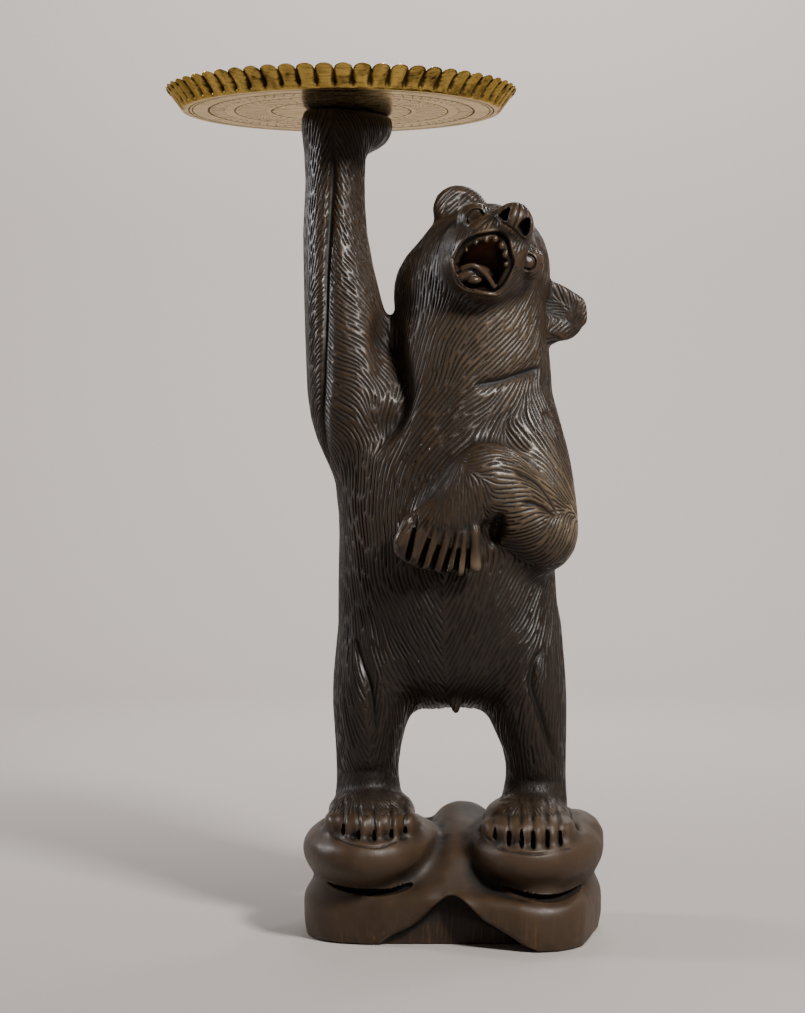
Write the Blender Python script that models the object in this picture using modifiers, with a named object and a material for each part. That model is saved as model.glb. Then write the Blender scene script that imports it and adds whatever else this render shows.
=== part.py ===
"""A wooden bear carved from one block with the rocks it stands on, holding up a round brass tray.

Metres, +Z up. The origin is in the middle of the block's flat underside and the bear faces -Y.
The carving keeps its proportions: its places and radii are in parts of the figure's own height.
"""

import math

import bmesh
import bpy
import numpy as np
from mathutils import Euler, Matrix, Vector
from mathutils.bvhtree import BVHTree
from mathutils.kdtree import KDTree

# Driving dimensions, in metres
FIGURE_HEIGHT = 0.822  # underside of the block to the flat of the raised paw
PLINTH_WIDTH = 0.288
PLINTH_DEPTH = 0.194
PLINTH_HEIGHT = 0.052
PLINTH_CORNER = 0.056
PLINTH_EDGE = 0.016
PLINTH_TURN = math.radians(-13)
TRAY_WIDTH = 0.354
TRAY_FLOOR_WIDTH = 0.318
TRAY_DEPTH = 0.021
TRAY_WALL = 0.0014
TRAY_LOBES = 60
LOBE_SWELL = 0.0036
RIM_STEPS = 2
FACETS_A_LOBE = 3
REST_GAP = 0.0003
TRAY_CENTRE = (-113, 25)  # over the paw, in parts

# The figure is drawn 822 parts high, so a part is a millimetre at the size above
PART = FIGURE_HEIGHT / 822

# How finely the block is worked, in parts
ROUGH_GRAIN = 4.2
FINE_GRAIN = 2.4
CARVED_FACES = 7500

BEAR_WOOD = (0.060, 0.036, 0.024, 1.0)
BRASS = (0.55, 0.38, 0.14, 1.0)

# The head leans to the bear's left and tips back. Its features are placed in the leaning
# frame, from the middle of the skull: to the bear's left, towards its back, to its crown.
HEAD_LEAN = math.radians(39)
HEAD_TIP = math.radians(28)
SKULL_CENTRE = (26, -4, 657)

TORSO = [
    ((-5, 9, 286), (112, 86, 66)),
    ((-7, 0, 345), (110, 90, 66)),
    ((-9, -2, 410), (107, 88, 66)),
    ((-12, 2, 480), (107, 84, 62)),
    ((2, 4, 540), (97, 80, 58)),
    ((16, 0, 600), (78, 77, 58)),
    ((22, -2, 640), (73, 72, 58)),
]
LEFT_LEG = [
    ((-64, 8, 300), (53, 76, 62)),
    ((-80, -1, 242), (42, 66, 46)),
    ((-86, -2, 185), (33, 50, 36)),
    ((-86, 2, 148), (32, 44, 28)),
    ((-85, -6, 128), (36, 46, 22)),
]
RIGHT_LEG = [
    ((56, 8, 300), (53, 76, 62)),
    ((70, -3, 242), (43, 66, 46)),
    ((81, -4, 185), (32, 50, 36)),
    ((82, 0, 148), (31, 44, 28)),
    ((79, -8, 126), (36, 46, 22)),
]
ARCH = ((-1, 0, 160), (53, 66))
RAISED_ARM = [
    ((-72, 6, 470), (50, 62, 50)),
    ((-92, 0, 520), (52, 60, 50)),
    ((-103, 2, 575), (46, 54, 45)),
    ((-113, 6, 640), (38, 44, 44)),
    ((-119, 10, 700), (33, 38, 40)),
    ((-119, 12, 755), (31, 35, 34)),
    ((-119, 14, 800), (34, 37, 30)),
]
RAISED_PALM = [
    ((-124, 14, 806), (29, 36, 34)),
    ((-108, 34, 806), (38, 44, 30)),
    ((-96, 58, 812), (36, 40, 28)),
]
FOLDED_UPPER_ARM = [
    ((58, -6, 520), (44, 52, 44)),
    ((72, -26, 465), (44, 48, 46)),
    ((80, -46, 415), (42, 44, 44)),
]
FOLDED_FOREARM = [
    ((83, -52, 402), (39, 42, 42)),
    ((60, -76, 430), (36, 36, 38)),
    ((38, -90, 455), (32, 30, 34)),
    ((22, -98, 452), (27, 24, 34)),
    ((2, -104, 428), (29, 18, 25)),
    ((-21, -106, 410), (37, 15, 19)),
]
FINGERS = [
    ((-46, 412), (-55, 394)),
    ((-36, 410), (-43, 382)),
    ((-24, 406), (-28, 373)),
    ((-11, 404), (-13, 368)),
    ((3, 404), (3, 367)),
    ((17, 406), (19, 371)),
]
FEET = (((-82, -66, 117), 78), ((71, -78, 112), 78))  # each foot's middle toe and its spread
TOES = 6
CROTCH_TIP = ((1, -46, 228), (5, 9, 9))
TAIL = ((-3, 88, 262), (15, 16, 24))

# Head, in the leaning frame
SKULL = [((0, 0, 0), (69, 74, 73)), ((-8, 6, -30), (62, 66, 62)), ((22, 4, -26), (56, 62, 58))]
BROW = [((-3, -42, 34), (44, 30, 26)), ((-3, -30, 10), (52, 40, 46))]
MUZZLE = [
    ((-3, -54, 14), (48, 36, 42)),
    ((-3, -78, 17), (41, 28, 41)),
    ((-4, -95, 26), (31, 19, 31)),
]
LOWER_JAW = [
    ((-2, -54, -8), (40, 36, 27)),
    ((-2, -83, -8), (34, 22, 21)),
]
BRIDGE = [
    ((-4, -56, 42), (26, 24, 22)),
    ((-4, -86, 47), (23, 22, 19)),
    ((-4, -105, 53), (19, 15, 16)),
]
MOUTH = ((-4, -112, 5), (26, 56, 23))
MOUTH_ROOF = ((-4, -108, 18), (20, 36, 20))
NOSTRILS = ((-14.5, -121, 53), (7.5, -121, 52))
EYE_RADIUS = 8
EAR_OF_RIGHT = ((-54, 12, 37), (31, 15, 31))
EAR_OF_LEFT = ((80, 8, 17), (35, 14, 31))
EARS = (EAR_OF_RIGHT, EAR_OF_LEFT)

# Rocks
LEFT_BOULDER = ((-81, -12, 86), (71, 97, 39))
RIGHT_BOULDER = ((80, -14, 85), (71, 100, 39))
SADDLE = [
    ((10, 60, 96), (32, 34, 26)),
    ((4, -14, 82), (24, 34, 20)),
    ((-3, -52, 58), (36, 26, 20)),
    ((-5, -70, 38), (62, 24, 22)),
]
HOLLOW_FOOT = (-7, -95, -2)
HOLLOW_ARCH = [(-128, -20), (-88, 4), (-40, 22), (0, 53), (34, 28), (82, 6), (122, -20)]
HOLLOW_LEAN = math.radians(24)
BACK_ROCKS = [
    ((14, 72, 82), (33, 28, 34)),
    ((-90, 40, 76), (58, 52, 44)),
    ((-36, 74, 62), (48, 26, 42)),
    ((90, 44, 80), (58, 50, 43)),
    ((54, 80, 56), (48, 24, 38)),
    ((120, 8, 94), (32, 46, 27)),
]

# Places seen from the front, as (across, up). They fall on whatever surface faces the front there.
EYES = [(21.5, 709), (73.5, 666)]
ARM_PARTING = [(-121, 815), (-120, 766), (-122, 724), (-126, 656), (-127, 601), (-129, 546),
               (-130, 505), (-124, 472)]
NECK_HOLLOW = [(-66, 614), (-65, 590), (-60, 560), (-55, 532), (-66, 505), (-80, 480)]
THROAT = [(18, 545), (42, 549), (60, 555), (84, 563)]
ELBOW_FOLDS = [
    [(55, 462), (77, 451), (90, 435), (100, 418)],
    [(62, 433), (82, 428), (98, 417)],
    [(59, 479), (72, 471), (83, 461)],
]
THIGH_FOLDS = [
    [(85, 288), (76, 271), (74, 250), (83, 224), (91, 199), (101, 176)],
    [(-98, 300), (-91, 275), (-84, 254), (-80, 228), (-78, 205)],
]
ANKLES = [
    [(-114, 160), (-98, 164), (-82, 165), (-57, 167)],
    [(48, 152), (64, 154), (79, 155), (96, 155), (110, 154)],
]
UNDER_BOULDERS = [
    [(-147, 62), (-124, 56), (-100, 51), (-68, 56), (-44, 67), (-22, 84), (-10, 100)],
    [(11, 101), (14, 78), (33, 66), (56, 54), (92, 51), (129, 58), (146, 64)],
]


def spun(x=0, y=0, z=0):
    return Euler([math.radians(a) for a in (x, y, z)]).to_matrix()


LEANING = Matrix.Rotation(HEAD_LEAN, 3, "Y")
TIPPED = LEANING @ Matrix.Rotation(-HEAD_TIP, 3, "X")


def on_head(place):
    """A place in the leaning frame as one in the figure."""
    return Vector(SKULL_CENTRE) + LEANING @ Vector(place)


def round_template():
    bm = bmesh.new()
    bmesh.ops.create_icosphere(bm, subdivisions=4, radius=1)
    mesh = bpy.data.meshes.new("round_template")
    bm.to_mesh(mesh)
    bm.free()
    return mesh


def ball(bm, centre, radii, turn=None):
    """One ellipsoid of the rough form, in parts of the figure."""
    turn = (turn or Matrix.Identity(3)).to_4x4()
    size = Matrix.Diagonal((*(r * PART for r in radii), 1))
    mesh = bpy.data.meshes.get("round_template") or round_template()
    copy = mesh.copy()
    copy.transform(Matrix.Translation(Vector(centre) * PART) @ turn @ size)
    bm.from_mesh(copy)
    bpy.data.meshes.remove(copy)


def between(stations, t):
    """A smooth run through the stations, each of which is (centre, radii)."""
    i = min(int(t), len(stations) - 2)
    u = t - i
    ends = [stations[max(0, min(len(stations) - 1, i + k))] for k in (-1, 0, 1, 2)]
    a, b, c, d = [np.array([*place, *radii], float) for place, radii in ends]
    return 0.5 * (
        2 * b + (c - a) * u + (2 * a - 5 * b + 4 * c - d) * u * u + (3 * b - a - 3 * c + d) * u**3
    )


def limb(bm, stations, balls_between=5, turn=None):
    """Ellipsoids strung along the stations, close enough to read as one swelling form."""
    count = balls_between * (len(stations) - 1)
    for n in range(count + 1):
        row = between(stations, n / balls_between)
        ball(bm, row[:3], row[3:], turn)


def head_limb(bm, stations, turn=None):
    placed = [(on_head(place), radii) for place, radii in stations]
    limb(bm, placed, turn=turn or TIPPED)


def link(name, mesh, collection):
    made = bpy.data.objects.new(name, mesh)
    collection.objects.link(made)
    return made


def object_from(bm, name, collection):
    mesh = bpy.data.meshes.new(name)
    bm.to_mesh(mesh)
    bm.free()
    return link(name, mesh, collection)


def settle(obj):
    """The object's modifiers become its mesh."""
    graph = bpy.context.evaluated_depsgraph_get()
    graph.update()
    mesh = bpy.data.meshes.new_from_object(obj.evaluated_get(graph))
    obj.modifiers.clear()
    old = obj.data
    obj.data = mesh
    bpy.data.meshes.remove(old)
    return obj


def fuse(obj, grain, rounds):
    """Overlapping forms become one skin of even grain, with their joints rounded off."""
    remesh = obj.modifiers.new("fuse", "REMESH")
    remesh.mode = "VOXEL"
    remesh.voxel_size = grain * PART
    if rounds:
        smooth = obj.modifiers.new("soften", "SMOOTH")
        smooth.factor = 0.5
        smooth.iterations = rounds
    return settle(obj)


def absorb(obj, bm):
    """The new forms join the object's mesh."""
    bm.from_mesh(obj.data)
    bm.to_mesh(obj.data)
    bm.free()


def cut(obj, cutter):
    """The cutter is taken out of the object."""
    taken = obj.modifiers.new("cut", "BOOLEAN")
    taken.operation = "DIFFERENCE"
    taken.object = cutter
    settle(obj)
    bpy.data.objects.remove(cutter)


def drop_chips(obj):
    """Keeps the largest connected skin, so that no crumb or sealed bubble stays behind."""
    bm = bmesh.new()
    bm.from_mesh(obj.data)
    left = set(bm.verts)
    skins = []
    while left:
        skin, edge = set(), {left.pop()}
        while edge:
            skin |= edge
            edge = {e.other_vert(v) for v in edge for e in v.link_edges} - skin
        left -= skin
        skins.append(skin)
    largest = max(skins, key=len)
    bmesh.ops.delete(bm, geom=[v for v in bm.verts if v not in largest], context="VERTS")
    bm.to_mesh(obj.data)
    bm.free()


def points_of(mesh):
    points = np.empty(len(mesh.vertices) * 3, np.float32)
    mesh.vertices.foreach_get("co", points)
    return points.reshape(-1, 3).astype(float)


def normals_of(mesh):
    normals = np.empty(len(mesh.vertices) * 3, np.float32)
    mesh.vertex_normals.foreach_get("vector", normals)
    return normals.reshape(-1, 3).astype(float)


def smooth_line(route, step):
    """Points along a smooth line through the route, about a step apart, in parts."""
    stations = [(p, (0, 0, 0)) for p in route]
    rows = []
    for i in range(len(route) - 1):
        length = (Vector(route[i + 1]) - Vector(route[i])).length
        pieces = max(2, round(length / step))
        rows += [between(stations, i + k / pieces)[:3] for k in range(pieces)]
    rows.append(np.array(route[-1], float))
    return np.array(rows)


def on_front(obj, route):
    """The route's points, as (across, up), put where they meet the front of the object."""
    tree = BVHTree.FromObject(obj, bpy.context.evaluated_depsgraph_get())
    found = []
    for across, up in route:
        start = Vector((across * PART, -1, up * PART))
        hit = tree.ray_cast(start, Vector((0, 1, 0)))[0]
        if hit:
            found.append(tuple(hit / PART))
    return found


def gouge(obj, routes, width, depth, step=2.0, fade=True):
    """Draws a V-shaped cut along each route, which may fade out at both ends."""
    mesh = obj.data
    points, normals = points_of(mesh), normals_of(mesh)
    lines = [smooth_line(route, step) for route in routes]
    tree = KDTree(sum(len(line) for line in lines))
    fades = []
    for line in lines:
        for k, p in enumerate(line):
            tree.insert(Vector(p) * PART, len(fades))
            ends = min(5 * k / len(line), 5 * (len(line) - 1 - k) / len(line))
            fades.append(min(1.0, ends) if fade else 1.0)
    tree.balance()
    for i, p in enumerate(points):
        _, at, far = tree.find(p)
        share = far / (width * PART)
        if share < 1:
            points[i] = p - normals[i] * (1 - share) ** 1.5 * depth * PART * fades[at]
    mesh.vertices.foreach_set("co", points.astype(np.float32).ravel())
    mesh.update()


def front_cuts(obj):
    for routes, width, depth in (
        ([ARM_PARTING], 11, 6),
        ([NECK_HOLLOW], 24, 21),
        ([THROAT], 13, 6),
        (ELBOW_FOLDS, 8, 3),
        (THIGH_FOLDS, 10, 5),
        (ANKLES, 8, 3),
        (UNDER_BOULDERS, 13, 9),
    ):
        gouge(obj, [on_front(obj, route) for route in routes], width, depth)


def body(collection):
    """The bear's own mass, with the arch between its legs."""
    bm = bmesh.new()
    limb(bm, TORSO)
    for chain in (LEFT_LEG, RIGHT_LEG, RAISED_ARM, FOLDED_UPPER_ARM, FOLDED_FOREARM):
        limb(bm, chain)
    limb(bm, RAISED_PALM, turn=spun(z=-28))
    ball(bm, *TAIL, spun(x=18))
    for centre, radii in SKULL:
        ball(bm, on_head(centre), radii, TIPPED)
    made = fuse(object_from(bm, "carved_bear", collection), ROUGH_GRAIN, 24)
    arch = bmesh.new()
    centre, (half, high) = ARCH
    place = Matrix.Translation(Vector(centre) * PART) @ Matrix.Rotation(math.pi / 2, 4, "X")
    size = Matrix.Diagonal((half * PART, high * PART, 1, 1))
    bmesh.ops.create_cone(
        arch, cap_ends=True, segments=48, radius1=1, radius2=1, depth=0.4, matrix=place @ size
    )
    cut(made, object_from(arch, "arch", collection))
    tip = bmesh.new()
    ball(tip, *CROTCH_TIP)
    absorb(made, tip)
    return made


def add_face(obj):
    bm = bmesh.new()
    for centre, radii in BROW:
        ball(bm, on_head(centre), radii, TIPPED)
    head_limb(bm, MUZZLE)
    head_limb(bm, LOWER_JAW)
    head_limb(bm, BRIDGE)
    for centre, radii in EARS:
        ball(bm, on_head(centre), radii, TIPPED)
    absorb(obj, bm)


def add_eyes(obj):
    """Domed eyes, each in a ring-shaped cut."""
    places = on_front(obj, EYES)
    rings = []
    for x, y, z in places:
        turns = [2 * math.pi * n / 12 for n in range(13)]
        ring = [(x + 1.3 * EYE_RADIUS * math.cos(t), z + 1.3 * EYE_RADIUS * math.sin(t)) for t in turns]
        rings.append(on_front(obj, ring))
    gouge(obj, rings, 6.5, 6, fade=False)
    bm = bmesh.new()
    for x, y, z in places:
        ball(bm, (x, y - 0.05 * EYE_RADIUS, z), (EYE_RADIUS,) * 3)
    absorb(obj, bm)


def toe_places():
    """Each toe's middle and its slant."""
    for (x, y, z), spread in FEET:
        for n in range(TOES):
            share = 2 * n / (TOES - 1) - 1
            yield (x + share * spread / 2, y - 11 + 17 * share**2, z - 1), -14 * share


def add_toes_and_fingers(obj):
    bm = bmesh.new()
    for (x, y, z), _ in FEET:
        ball(bm, (x, y + 38, z + 7), (44, 50, 25))
    for place, slant in toe_places():
        ball(bm, place, (7.2, 17, 14), spun(z=slant))
    for (x, z), (tip_x, tip_z) in FINGERS:
        limb(bm, [((x, -108, z), (7, 11, 9)), ((tip_x, -110, tip_z), (6, 10, 8))])
    absorb(obj, bm)


def part_toes_and_fingers(obj):
    toes = [place for place, _ in toe_places()]
    pairs = [(a, b) for a, b in zip(toes, toes[1:]) if b[0] - a[0] < 30]
    middles = [((a[0] + b[0]) / 2, (a[2] + b[2]) / 2) for a, b in pairs]
    gaps = [[(x, z + 17), (x, z + 5), (x, z - 9)] for x, z in middles]
    for (a, a_tip), (b, b_tip) in zip(FINGERS, FINGERS[1:]):
        starts = ((a[0] + b[0]) / 2, (a[1] + b[1]) / 2 + 4)
        ends = ((a_tip[0] + b_tip[0]) / 2, (a_tip[1] + b_tip[1]) / 2 - 4)
        gaps.append([starts, ends])
    gouge(obj, [on_front(obj, gap) for gap in gaps], 5.5, 5, fade=False)


def rocks(collection):
    """Two cushion-shaped boulders on a rounded slab, with a ridge running down between them."""
    bm = bmesh.new()
    height = PLINTH_HEIGHT + 0.006
    made = bmesh.ops.create_cube(bm, size=1)
    bmesh.ops.scale(bm, vec=(PLINTH_WIDTH, PLINTH_DEPTH, height), verts=made["verts"])
    sides = [e for e in bm.edges if abs(e.verts[0].co.z - e.verts[1].co.z) > height / 2]
    bmesh.ops.bevel(
        bm, geom=sides, offset=PLINTH_CORNER, segments=10, profile=0.5, affect="EDGES"
    )
    under = [e for e in bm.edges if max(v.co.z for v in e.verts) < 0]
    bmesh.ops.bevel(bm, geom=under, offset=PLINTH_EDGE, segments=4, profile=0.5, affect="EDGES")
    bmesh.ops.rotate(bm, matrix=Matrix.Rotation(PLINTH_TURN, 3, "Z"), verts=bm.verts)
    bmesh.ops.translate(bm, vec=(0, 0, PLINTH_HEIGHT - height / 2), verts=bm.verts)
    for centre, radii in (LEFT_BOULDER, RIGHT_BOULDER):
        ball(bm, centre, radii, spun(z=-8))
    for centre, radii in BACK_ROCKS:
        ball(bm, centre, radii)
    limb(bm, SADDLE)
    stone = fuse(object_from(bm, "rocks", collection), ROUGH_GRAIN, 5)
    cut(stone, hollow(collection))
    return stone


def hollow(collection):
    """The pointed arch scooped out of the front of the slab, deepest at its top."""
    outline = bpy.data.curves.new("arch_outline", "CURVE")
    outline.dimensions = "2D"
    outline.fill_mode = "BOTH"
    outline.extrude = 30 * PART
    spline = outline.splines.new("POLY")
    spline.points.add(len(HOLLOW_ARCH) - 1)
    for point, (across, up) in zip(spline.points, HOLLOW_ARCH):
        point.co = (across * PART, up * PART, 0, 1)
    spline.use_cyclic_u = True
    made = link("arch_outline", outline, collection)
    mesh = bpy.data.meshes.new_from_object(made)
    bpy.data.objects.remove(made)
    mesh.transform(
        Matrix.Translation(Vector(HOLLOW_FOOT) * PART)
        @ Matrix.Rotation(PLINTH_TURN, 4, "Z")
        @ Matrix.Rotation(math.pi / 2 - HOLLOW_LEAN, 4, "X")
        @ Matrix.Translation((0, 0, outline.extrude))
    )
    return link("hollow", mesh, collection)


def sockets(collection):
    """What is dug out of the boulders around the feet."""
    bm = bmesh.new()
    for x, y, z in ((-82, -46, 127), (71, -56, 122)):
        ball(bm, (x, y, z), (55, 64, 33))
    return fuse(object_from(bm, "sockets", collection), ROUGH_GRAIN, 0)


def mouth_and_nostrils(collection):
    bm = bmesh.new()
    for centre, radii in (MOUTH, MOUTH_ROOF):
        ball(bm, on_head(centre), radii, TIPPED)
    for place in NOSTRILS:
        ball(bm, on_head(place), (5.2, 19, 5), LEANING)
    for ((across, back, up), radii), depth in zip(EARS, (13, 4)):
        ball(bm, on_head((across, back - 15, up + 2)), (20, depth, 19), TIPPED)
    ball(bm, (38, -110, 402), (8, 36, 22), spun(y=12))
    return fuse(object_from(bm, "mouth", collection), 2.0, 0)


def trim(obj, low, high):
    """The block is sawn flat underneath and the raised paw is cut flat on top."""
    bm = bmesh.new()
    bm.from_mesh(obj.data)
    for z, side in ((low, -1), (high, 1)):
        geometry = bm.verts[:] + bm.edges[:] + bm.faces[:]
        sliced = bmesh.ops.bisect_plane(
            bm, geom=geometry, dist=1e-6, plane_co=(0, 0, z), plane_no=(0, 0, side), clear_outer=True
        )
        rim = [e for e in sliced["geom_cut"] if isinstance(e, bmesh.types.BMEdge)]
        bmesh.ops.holes_fill(bm, edges=rim)
    bmesh.ops.triangulate(bm, faces=bm.faces[:])
    bmesh.ops.recalc_face_normals(bm, faces=bm.faces[:])
    bm.to_mesh(obj.data)
    bm.free()


def thin(obj, faces):
    """Fewer, larger facets where the form is plain."""
    obj.data.calc_loop_triangles()
    ratio = faces / len(obj.data.loop_triangles)
    modifier = obj.modifiers.new("facets", "DECIMATE")
    modifier.ratio = ratio
    settle(obj)


def carved_bear(collection):
    bear = body(collection)
    add_face(bear)
    fuse(bear, FINE_GRAIN, 4)
    add_eyes(bear)
    stone = rocks(collection)
    cut(stone, sockets(collection))
    bm = bmesh.new()
    bm.from_mesh(stone.data)
    bpy.data.objects.remove(stone)
    absorb(bear, bm)
    add_toes_and_fingers(bear)
    fuse(bear, FINE_GRAIN, 3)
    cut(bear, mouth_and_nostrils(collection))
    fuse(bear, FINE_GRAIN, 1)
    part_toes_and_fingers(bear)
    front_cuts(bear)
    drop_chips(bear)
    thin(bear, CARVED_FACES)
    trim(bear, 0, FIGURE_HEIGHT)
    return bear


def brass_tray(collection):
    """A round tray with a flaring rim of upright lobes, lying on the raised paw."""
    floor = TRAY_FLOOR_WIDTH / 2
    rim = TRAY_WIDTH / 2 - LOBE_SWELL
    bm = bmesh.new()
    profile = [bm.verts.new((0, 0, 0))]
    for n in range(RIM_STEPS + 1):
        share = n / RIM_STEPS
        place = (floor + (rim - floor) * share**0.8, 0, TRAY_DEPTH * share**1.2)
        profile.append(bm.verts.new(place))
    for low, high in zip(profile, profile[1:]):
        bm.edges.new((low, high))
    tray = object_from(bm, "brass_tray", collection)
    turned = tray.modifiers.new("turned", "SCREW")
    turned.steps = turned.render_steps = FACETS_A_LOBE * TRAY_LOBES
    turned.use_merge_vertices = True
    turned.merge_threshold = 0.0001
    settle(tray)
    for vertex in tray.data.vertices:
        share = vertex.co.z / TRAY_DEPTH
        if share > 0:
            angle = math.atan2(vertex.co.y, vertex.co.x)
            swell = LOBE_SWELL * share**0.5 * abs(math.sin(angle * TRAY_LOBES / 2))
            vertex.co.xy *= 1 + swell / vertex.co.xy.length
    wall = tray.modifiers.new("wall", "SOLIDIFY")
    wall.thickness = TRAY_WALL
    wall.offset = 1
    settle(tray)
    tray.location = (TRAY_CENTRE[0] * PART, TRAY_CENTRE[1] * PART, FIGURE_HEIGHT + REST_GAP)
    return tray


def paint(obj, name, colour, roughness, metallic):
    material = bpy.data.materials.new(name)
    material.use_nodes = True
    shader = material.node_tree.nodes["Principled BSDF"]
    shader.inputs["Base Color"].default_value = colour
    shader.inputs["Roughness"].default_value = roughness
    shader.inputs["Metallic"].default_value = metallic
    obj.data.materials.clear()
    obj.data.materials.append(material)
    for polygon in obj.data.polygons:
        polygon.use_smooth = True


def main():
    for old in list(bpy.data.objects):
        bpy.data.objects.remove(old)
    collection = bpy.data.collections.new("carved_bear")
    bpy.context.scene.collection.children.link(collection)
    paint(carved_bear(collection), "wood", BEAR_WOOD, 0.45, 0)
    paint(brass_tray(collection), "brass", BRASS, 0.3, 1)


main()
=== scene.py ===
"""The looks of a carved wooden bear that holds up a brass tray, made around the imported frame.

Metres, +Z up, the bear faces -Y. The carving is placed in parts of the figure, which is 822 parts high.
"""

import math
import random

import bmesh
import bpy
import numpy as np
from mathutils import Euler, Matrix, Vector
from mathutils.bvhtree import BVHTree


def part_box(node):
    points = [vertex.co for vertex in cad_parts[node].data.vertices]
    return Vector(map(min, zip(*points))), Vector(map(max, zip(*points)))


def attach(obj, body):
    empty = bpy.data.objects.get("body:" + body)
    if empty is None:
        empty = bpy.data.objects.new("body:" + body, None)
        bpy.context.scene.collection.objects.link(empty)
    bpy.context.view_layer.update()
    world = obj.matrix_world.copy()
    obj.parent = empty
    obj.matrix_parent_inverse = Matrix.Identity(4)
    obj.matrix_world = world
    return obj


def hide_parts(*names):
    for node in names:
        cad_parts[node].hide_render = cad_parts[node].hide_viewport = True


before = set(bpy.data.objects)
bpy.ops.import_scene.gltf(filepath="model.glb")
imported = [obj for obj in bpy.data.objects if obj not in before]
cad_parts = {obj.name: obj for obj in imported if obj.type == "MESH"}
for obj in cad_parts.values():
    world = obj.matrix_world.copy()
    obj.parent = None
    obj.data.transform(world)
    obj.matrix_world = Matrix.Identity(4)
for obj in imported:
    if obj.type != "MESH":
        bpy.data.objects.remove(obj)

bl_info = {
    "name": "Carved bear with a brass tray",
    "version": (1, 0, 0),
    "blender": (4, 5, 0),
    "location": "View3D > Sidebar > Carved bear",
    "description": "Carves a wooden bear's fur, presses the brass tray it holds up and lights both",
    "category": "Object",
}

# The frame gives the sizes
TRAY_LOW, TRAY_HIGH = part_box("brass_tray")
TRAY_MIDDLE = (TRAY_LOW + TRAY_HIGH) / 2
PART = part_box("carved_bear")[1].z / 822

# How finely the wood is worked, in parts
FORM_GRAIN = 2.2
SLOT_GRAIN = 0.8
SKIN_GRAIN = 0.9
LINE_STEP = 1.3
# A cut's section: 1 is a plain V, and more makes it sharper at the bottom
ROUNDNESS = 1.4
# The adze's scoops on the rocks, in metres, and the height in parts that they end at
SCOOP_WIDTH = 0.017
SCOOPS_BELOW = 120
SEED = 7
# Balls from one station of a limb to the next, and points round a ring
BALLS_BETWEEN = 5
RING_POINTS = 20

# Head, from the middle of the skull: to the bear's left, towards its back, to its crown
HEAD_LEAN = math.radians(39)
HEAD_TIP = math.radians(28)
SKULL_CENTRE = (26, -4, 657)
MUZZLE = [
    ((-3, -54, 14), (48, 36, 42)),
    ((-3, -78, 17), (41, 28, 41)),
    ((-4, -95, 26), (31, 19, 31)),
]
LOWER_JAW = [((-2, -54, -8), (40, 36, 27)), ((-2, -83, -8), (34, 22, 21))]
BRIDGE = [
    ((-4, -56, 42), (26, 24, 22)),
    ((-4, -86, 47), (23, 22, 19)),
    ((-4, -105, 53), (19, 15, 16)),
]
EAR_DISH = ((-54, 11, 39), (23, 8, 21))
NOSE_CAP = ((54.5, -109, 701), (17.6, 17, 17.4))

# Outlines seen from the front, as (across, up)
MOUTH = [
    (-3.8, 664.3), (4.4, 679), (16.4, 686.2), (28.4, 688.9), (40.6, 689.7), (48.8, 682.8),
    (51.6, 672.2), (54.6, 660.2), (50.6, 649.5), (43.8, 637.3), (37, 631.9), (28.8, 632.6),
    (11.1, 636.2), (1.7, 643.4), (-2.4, 655.8),
]
NOSTRILS = [
    [(37.6, 704), (44, 709.5), (51, 713), (49.5, 706), (47.4, 698.5), (42, 701.5)],
    [(56.5, 693.5), (62, 700.5), (69.5, 703), (70, 693), (66, 683), (60.5, 686.5)],
]
EAR_BLADE = [
    (88, 651), (98, 650), (109, 645.5), (124, 636.5), (131, 629), (132.5, 611), (128, 605),
    (117, 599), (104, 590.5), (96, 588), (86, 600),
]
# How far back an outline reaches and its share of the outline's size there
MOUTH_LEVELS = [(-190, 1.0), (-108, 1.0), (-92, 0.93), (-78, 0.8), (-69, 0.6), (-65, 0.3)]
NOSTRIL_LEVELS = [(-150, 1.0), (-118, 0.95), (-108, 0.7), (-102, 0.3)]
EAR_BLADE_LEVELS = [(-8.5, 0.94), (-6, 1.0), (6, 1.0), (9, 0.94)]
# The gum's cords have a share of the mouth's size and lie behind its edge
GUM = MOUTH[:10]
GUM_CORDS = [(0.86, 9), (0.94, 13)]
LOWER_LIP = MOUTH[10:] + MOUTH[:1]
TEETH = [
    ((36.7, 683.2), 3.4), ((42.9, 676.5), 3.5), ((46.3, 668.3), 3.2), ((47, 659), 2.4),
    ((28, 682), 2.4), ((18.5, 679.5), 2), ((9.5, 673), 2),
]
TONGUE = [
    ((37, -66, 648), (8, 9, 7)),
    ((26, -82, 652), (12, 11, 8)),
    ((14, -90, 652), (10, 11, 8)),
    ((6, -93, 649), (6, 8, 6)),
]
TONGUE_RIM = [(6, -100, 656), (17, -103, 658), (28, -99, 650.5), (36, -92, 639)]
TONGUE_TIP = ((17.4, -97, 645), (7, 6, 4))
EYES = [((18.6, 705), (8.4, 7), -25), ((69.6, 661.5), (6.2, 7.4), 12)]
EYE_DEPTH = 8
EYE_PADS = [((19, -72, 705.5), (18, 20, 16)), ((70.5, -80, 662), (15, 19, 17))]

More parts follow.
